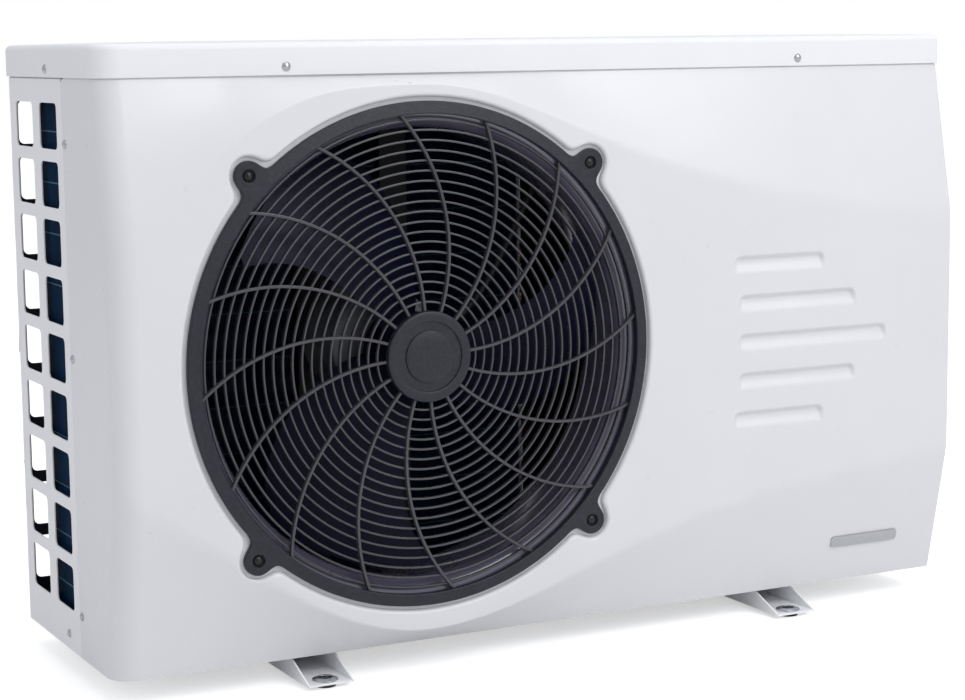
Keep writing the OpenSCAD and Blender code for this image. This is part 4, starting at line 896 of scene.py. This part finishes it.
def guard_place(s, z, d):
    """Sheet folded round the back left corner: s runs along it from the left seam, d is depth."""
    d = under_lid(z, d)
    if s < SIDE_L:
        return LEFT_X + d, LEFT_SEAM_Y + SEAM_GAP + s, z
    if s < SIDE_L + FOLD_L:
        a = (s - SIDE_L) / FOLD_R
        r = FOLD_R - d
        return LEFT_X + FOLD_R - r * math.cos(a), BACK_Y - FOLD_R + r * math.sin(a), z
    return LEFT_X + FOLD_R + s - SIDE_L - FOLD_L, BACK_Y - d, z


def step_points(start, end, also=()):
    """Two rows of points, either side of the step under the lid."""
    across = list(np.linspace(start, end, int((end - start) / 15) + 2)[1:-1]) + list(also)
    return [(float(s), z) for s in across for z in (TOP_Z, TOP_Z + 1)]


def paint_inside_shade(obj):
    """The guard's inner faces get a dark colour that stands for the shade inside the cabinet: painted shade.
    """
    obj.data.materials.append(finish["guard_inside_painted_shade"])
    for face in obj.data.polygons:
        x, y, _ = face.center / MM
        if min(x - LEFT_X, BACK_Y - y) > SHEET - 0.1:
            face.material_index = 1


def guard():
    """L-shaped sheet with its grid of openings, on the left side and along the back."""
    length = SIDE_L + FOLD_L + (PARTITION_X + 2) - (LEFT_X + FOLD_R)
    centres = [y - (LEFT_SEAM_Y + SEAM_GAP) for y in SIDE_COLUMNS]
    centres += [SIDE_L + FOLD_L + (FIRST_BACK_COLUMN_X + k * COLUMN_PITCH) - (LEFT_X + FOLD_R)
                for k in range(GUARD_COLUMNS)]
    holes = [rounded(*OPENING, OPENING_R, 5, at=(c, FIRST_ROW_Z + i * ROW_PITCH))
             for c in centres for i in range(ROWS)]
    bend = [SIDE_L + FOLD_L * f for f in (0, 0.2, 0.4, 0.6, 0.8, 1)]
    outline = [(0, BASE_Z)] + [(s, BASE_Z) for s in bend] + [(length, BASE_Z)]
    outline += [(length, TOP_Z), (length, TOP_Z + 1), (length, TONGUE_Z)]
    outline += [(s, TONGUE_Z) for s in reversed(bend)] + [(0, TONGUE_Z), (0, TOP_Z + 1), (0, TOP_Z)]
    extra = [(s, BASE_Z + (TOP_Z - BASE_Z) * j / 24) for s in bend for j in range(1, 24)]
    extra += step_points(0, length, bend)
    shape = Shape()
    plate(shape, outline, holes, guard_place, 0, SHEET, extra)
    obj = shape.piece("guard", finish["white_paint"], replaces=["coil_guard"])
    # The inner faces are darkened with painted shade
    paint_inside_shade(obj)
    bevel(obj, 0.45, 2, 50)


guard()

# ---------------------------------------------------------------- right side and back

HANDLE_AT, HANDLE_SIZE = (85, TOP_Z - 90), (100, 40)
COVER_AT, COVER_SIZE = (-35, TOP_Z - 150), (120, 170)
GLAND_AT = (COVER_AT[0], COVER_AT[1] - 115)
WATER_Y, WATER_Z = 60, (120, 340)
LOUVRE_Z = [BASE_Z + 90 + 28 * i for i in range(6)]
LOUVRE_W = 150


def sheet_panel(name, node, start, end, holes, place):
    """A plain sheet with openings and the step under the lid."""
    outline = [(start, BASE_Z), (end, BASE_Z), (end, TOP_Z), (end, TOP_Z + 1), (end, TONGUE_Z),
               (start, TONGUE_Z), (start, TOP_Z + 1), (start, TOP_Z)]
    shape = Shape()
    plate(shape, outline, holes, place, 0, SHEET, step_points(start, end))
    bevel(shape.piece(name, finish["white_paint"], replaces=[node]), 0.4, 2, 50)


def side_panel():
    """Right side sheet with its openings for water, cable, grip and terminals."""
    holes = [circle((WATER_Y, z), 27, 64) for z in WATER_Z] + [circle(GLAND_AT, 10.2, 32)]
    holes += [rounded(HANDLE_SIZE[0] - 12, HANDLE_SIZE[1] - 12, 4, at=HANDLE_AT)]
    holes += [rounded(COVER_SIZE[0] - 40, COVER_SIZE[1] - 50, 4, at=COVER_AT)]
    sheet_panel("side_sheet", "right_side_panel", RIGHT_SEAM_Y + SEAM_GAP, BACK_Y, holes,
                lambda y, z, d: (RIGHT_X - under_lid(z, d), y, z))


def louvre_hood(shape, xc, z):
    """Pressed hood over a slot: a sheet that swells out of the panel and opens downwards."""
    half, swell, rise, thick = LOUVRE_W / 2 + 6, 7, 16, 1
    rings = []
    for x in np.linspace(-half, half, 41):
        bulge = swell * math.sqrt(max(0.0, 1 - (abs(x) / half) ** 6))
        outer = [(bulge * math.sin(math.pi / 2 * t), z + 10 - rise * t) for t in np.linspace(0, 1, 7)]
        inner = [(max(d - thick, -0.6), level + 0.3) for d, level in reversed(outer)]
        rings.append([(xc + x, BACK_Y + d, level) for d, level in outer + inner])
    shape.loft(rings)


def rear_panel():
    """Back sheet over the compressor side, with slots under pressed hoods."""
    left, right = PARTITION_X + 2.5, RIGHT_X - SHEET - GAP
    middle = (left + right) / 2
    holes = [rounded(LOUVRE_W, 9, 4, at=(middle, z)) for z in LOUVRE_Z]
    sheet_panel("rear_sheet", "back_panel", left, right, holes,
                lambda x, z, d: (x, BACK_Y - under_lid(z, d), z))
    shape = Shape()
    for z in LOUVRE_Z:
        louvre_hood(shape, middle, z)
    shape.piece("louvre_hoods", finish["white_paint"], replaces=["back_panel"])


def on_side(outline, x):
    return [(x, y, z) for y, z in outline]


def handle():
    """Recessed grip: a bezel with a rounded edge and a cup with sloping walls."""
    w, h = HANDLE_SIZE
    # Width, height, corner radius and distance from the panel, round the bezel and into the cup
    sizes = [(w - 18, h - 18, 5, -22), (w - 15, h - 15, 5, 0), (w, h, 8, GAP), (w, h, 8, 2),
             (w - 0.8, h - 0.8, 7.6, 2.8), (w - 2.4, h - 2.4, 7, 3.2), (w - 14, h - 14, 5, 3.2),
             (w - 16, h - 16, 4.4, 2.6), (w - 17, h - 17, 4, 1), (w - 21, h - 20, 4, -18),
             (w - 25, h - 24, 3, -20)]
    shape = Shape()
    shape.loft([on_side(rounded(a, b, r, 6, HANDLE_AT), RIGHT_X + x) for a, b, r, x in sizes])
    shape.piece("grip", finish["dark_plastic"], replaces=["side_handle"])


def cover():
    """Box over the terminals, with two screws in wells."""
    place = rightward(RIGHT_X + GAP, 0, 0)
    screws = [(COVER_AT[0] + side * (COVER_SIZE[0] / 2 - 7), COVER_AT[1]) for side in (-1, 1)]
    shape = Shape()
    plate(shape, rounded(*COVER_SIZE, 8, 6, COVER_AT), [circle(p, 5, 32) for p in screws], place, 0, 28)
    bevel(shape.piece("cover", finish["white_shell"], replaces=["wiring_cover"]), 1.6, 3)
    heads = Shape()
    for y, z in screws:
        revolve(heads, [(1.9, -8), (1.9, 6), (4, 6), (4, 6.6), (3.2, 7.6), (2, 8.2), (0.6, 8.4)],
                rightward(RIGHT_X, y, z), 32)
    heads.piece("cover_screws", finish["screw_steel"], replaces=["wiring_cover"])


side_panel()
rear_panel()
handle()
cover()

# ---------------------------------------------------------------- coil

COIL_X, COIL_Y = LEFT_X + COIL_GAP, BACK_Y - COIL_GAP
COIL_FRONT_Y, COIL_END_X = LEFT_SEAM_Y + 8, PARTITION_X - 25
BEND_X, BEND_Y = COIL_X + COIL_BEND, COIL_Y - COIL_BEND
FIN_PITCH, FIN_T = 2.4, 0.3


def coil_station(s):
    """Point on the coil's outer face and the outward direction, at a path length along it."""
    front = BEND_Y - COIL_FRONT_Y
    turn = (COIL_BEND - COIL_T / 2) * math.pi / 2
    if s < front:
        return (COIL_X, COIL_FRONT_Y + s), (-1, 0)
    if s < front + turn:
        a = (s - front) / (COIL_BEND - COIL_T / 2)
        out = (-math.cos(a), math.sin(a))
        return (BEND_X + COIL_BEND * out[0], BEND_Y + COIL_BEND * out[1]), out
    return (BEND_X + s - front - turn, COIL_Y), (0, 1)


def coil():
    """Pack of thin upright fins along the L-shaped coil."""
    length = (BEND_Y - COIL_FRONT_Y) + (COIL_BEND - COIL_T / 2) * math.pi / 2 + COIL_END_X - BEND_X
    shape = Shape()
    for k in range(int(length / FIN_PITCH)):
        (x, y), (ox, oy) = coil_station((k + 0.5) * FIN_PITCH)
        tx, ty = oy, -ox
        section = [(0, -FIN_T / 2), (0, FIN_T / 2), (COIL_T, FIN_T / 2), (COIL_T, -FIN_T / 2)]
        shape.loft([[(x - ox * d + tx * w, y - oy * d + ty * w, z) for d, w in section]
                    for z in (COIL_LOW_Z, COIL_HIGH_Z)])
    shape.piece("coil_fin_pack", finish["fin_blue"], replaces=["coil_fins"])


coil()

# ---------------------------------------------------------------- finishes on the CAD's own nodes

for part in frame["record"]["subparts"]:
    data = frame["nodes"][part["node"]].data
    data.materials.clear()
    data.materials.append(finish[part["material_slot"]])

frame["nodes"]["foot_washers"].data.materials[0] = finish["washer_zinc"]

EDGE_WIDTHS = {"base_pan": 0.5, "foot_rail_left": 0.5, "foot_rail_right": 0.5, "rubber_feet": 0.5,
               "foot_washers": 0.25, "cable_gland": 0.5, "inlet_union_nut": 0.7,
               "outlet_union_nut": 0.7, "union_tails": 0.5}
for node, width in EDGE_WIDTHS.items():
    soften(node, width)

# ---------------------------------------------------------------- floor, light and camera

# Metres, degrees and the lens in millimetres
FLOOR_HALF = 20
FLOOR_GLOW = 0.5
SKY_LIGHT = (0.63, 0.64, 0.67)
CAMERA_AT = (-1.1483, -2.2085, 0.6469)
CAMERA_LOOK = (0.45273, 0.88116, -0.13634)
CAMERA_ROLL = -0.69
CAMERA_LENS = 83.31


def area_light(name, at, aim, size, power, colour=(1, 1, 1)):
    """Rectangular lamp that faces a point."""
    data = bpy.data.lights.new(name, "AREA")
    data.shape = "RECTANGLE"
    data.size, data.size_y = size
    data.energy = power
    data.color = colour
    obj = bpy.data.objects.new(name, data)
    obj.location = at
    obj.rotation_euler = (Vector(aim) - Vector(at)).to_track_quat("-Z", "Y").to_euler()
    bpy.context.scene.collection.objects.link(obj)


def floor():
    """Pale floor that glows a little to the camera, so that it ends in plain white."""
    corners = [(-1, -1), (1, -1), (1, 1), (-1, 1)]
    mesh = bpy.data.meshes.new("floor")
    mesh.from_pydata([(FLOOR_HALF * x, FLOOR_HALF * y, 0) for x, y in corners], [], [(0, 1, 2, 3)])
    white = surface("floor_white", (0.86, 0.86, 0.86), 0.75, mottle=0.004, grain=0.0)
    make = node_tools(white.node_tree)
    ray = make("ShaderNodeLightPath")
    glow = make("ShaderNodeMath", operation="MULTIPLY")
    glow.inputs[1].default_value = FLOOR_GLOW
    white.node_tree.links.new(ray.outputs["Is Camera Ray"], glow.inputs[0])
    shader = white.node_tree.nodes["Principled BSDF"]
    shader.inputs["Emission Color"].default_value = (1, 1, 1, 1)
    white.node_tree.links.new(glow.outputs[0], shader.inputs["Emission Strength"])
    mesh.materials.append(white)
    obj = bpy.data.objects.new("floor", mesh)
    bpy.context.scene.collection.objects.link(obj)


def world():
    """White to the camera, a softer grey as a light."""
    sky = bpy.data.worlds.new("studio")
    bpy.context.scene.world = sky
    sky.use_nodes = True
    make = node_tools(sky.node_tree)
    link = sky.node_tree.links.new
    background = sky.node_tree.nodes["Background"]
    ray = make("ShaderNodeLightPath")
    mix = make("ShaderNodeMix", data_type="RGBA")
    mix.inputs["A"].default_value = (*SKY_LIGHT, 1)
    mix.inputs["B"].default_value = (1, 1, 1, 1)
    link(ray.outputs["Is Camera Ray"], mix.inputs["Factor"])
    link(mix.outputs["Result"], background.inputs["Color"])


def camera():
    """Stands left of the front, a little above it, and looks along CAMERA_LOOK."""
    data = bpy.data.cameras.new("camera")
    data.sensor_width = 36
    data.lens = CAMERA_LENS
    data.clip_end = 50
    obj = bpy.data.objects.new("camera", data)
    aim = Vector(CAMERA_LOOK).to_track_quat("-Z", "Y").to_matrix().to_4x4()
    roll = Matrix.Rotation(math.radians(CAMERA_ROLL), 4, "Z")
    obj.matrix_world = Matrix.Translation(CAMERA_AT) @ aim @ roll
    bpy.context.scene.collection.objects.link(obj)
    bpy.context.scene.camera = obj


floor()
world()
area_light("key", (1.2, -2.6, 2.6), (0, 0, 0.3), (2.4, 2.0), 41)
area_light("fill", (0.3, -1.3, 1.3), (0.1, 0, 0.3), (1.1, 1.1), 2.2)
area_light("top", (0, 0.2, 3.0), (0, 0, 0.3), (3.0, 3.0), 20)
area_light("side", (-2.6, -0.6, 1.9), (-0.5, 0, 0.35), (0.9, 0.9), 3.6)
camera()
bpy.context.scene.view_settings.view_transform = "Standard"
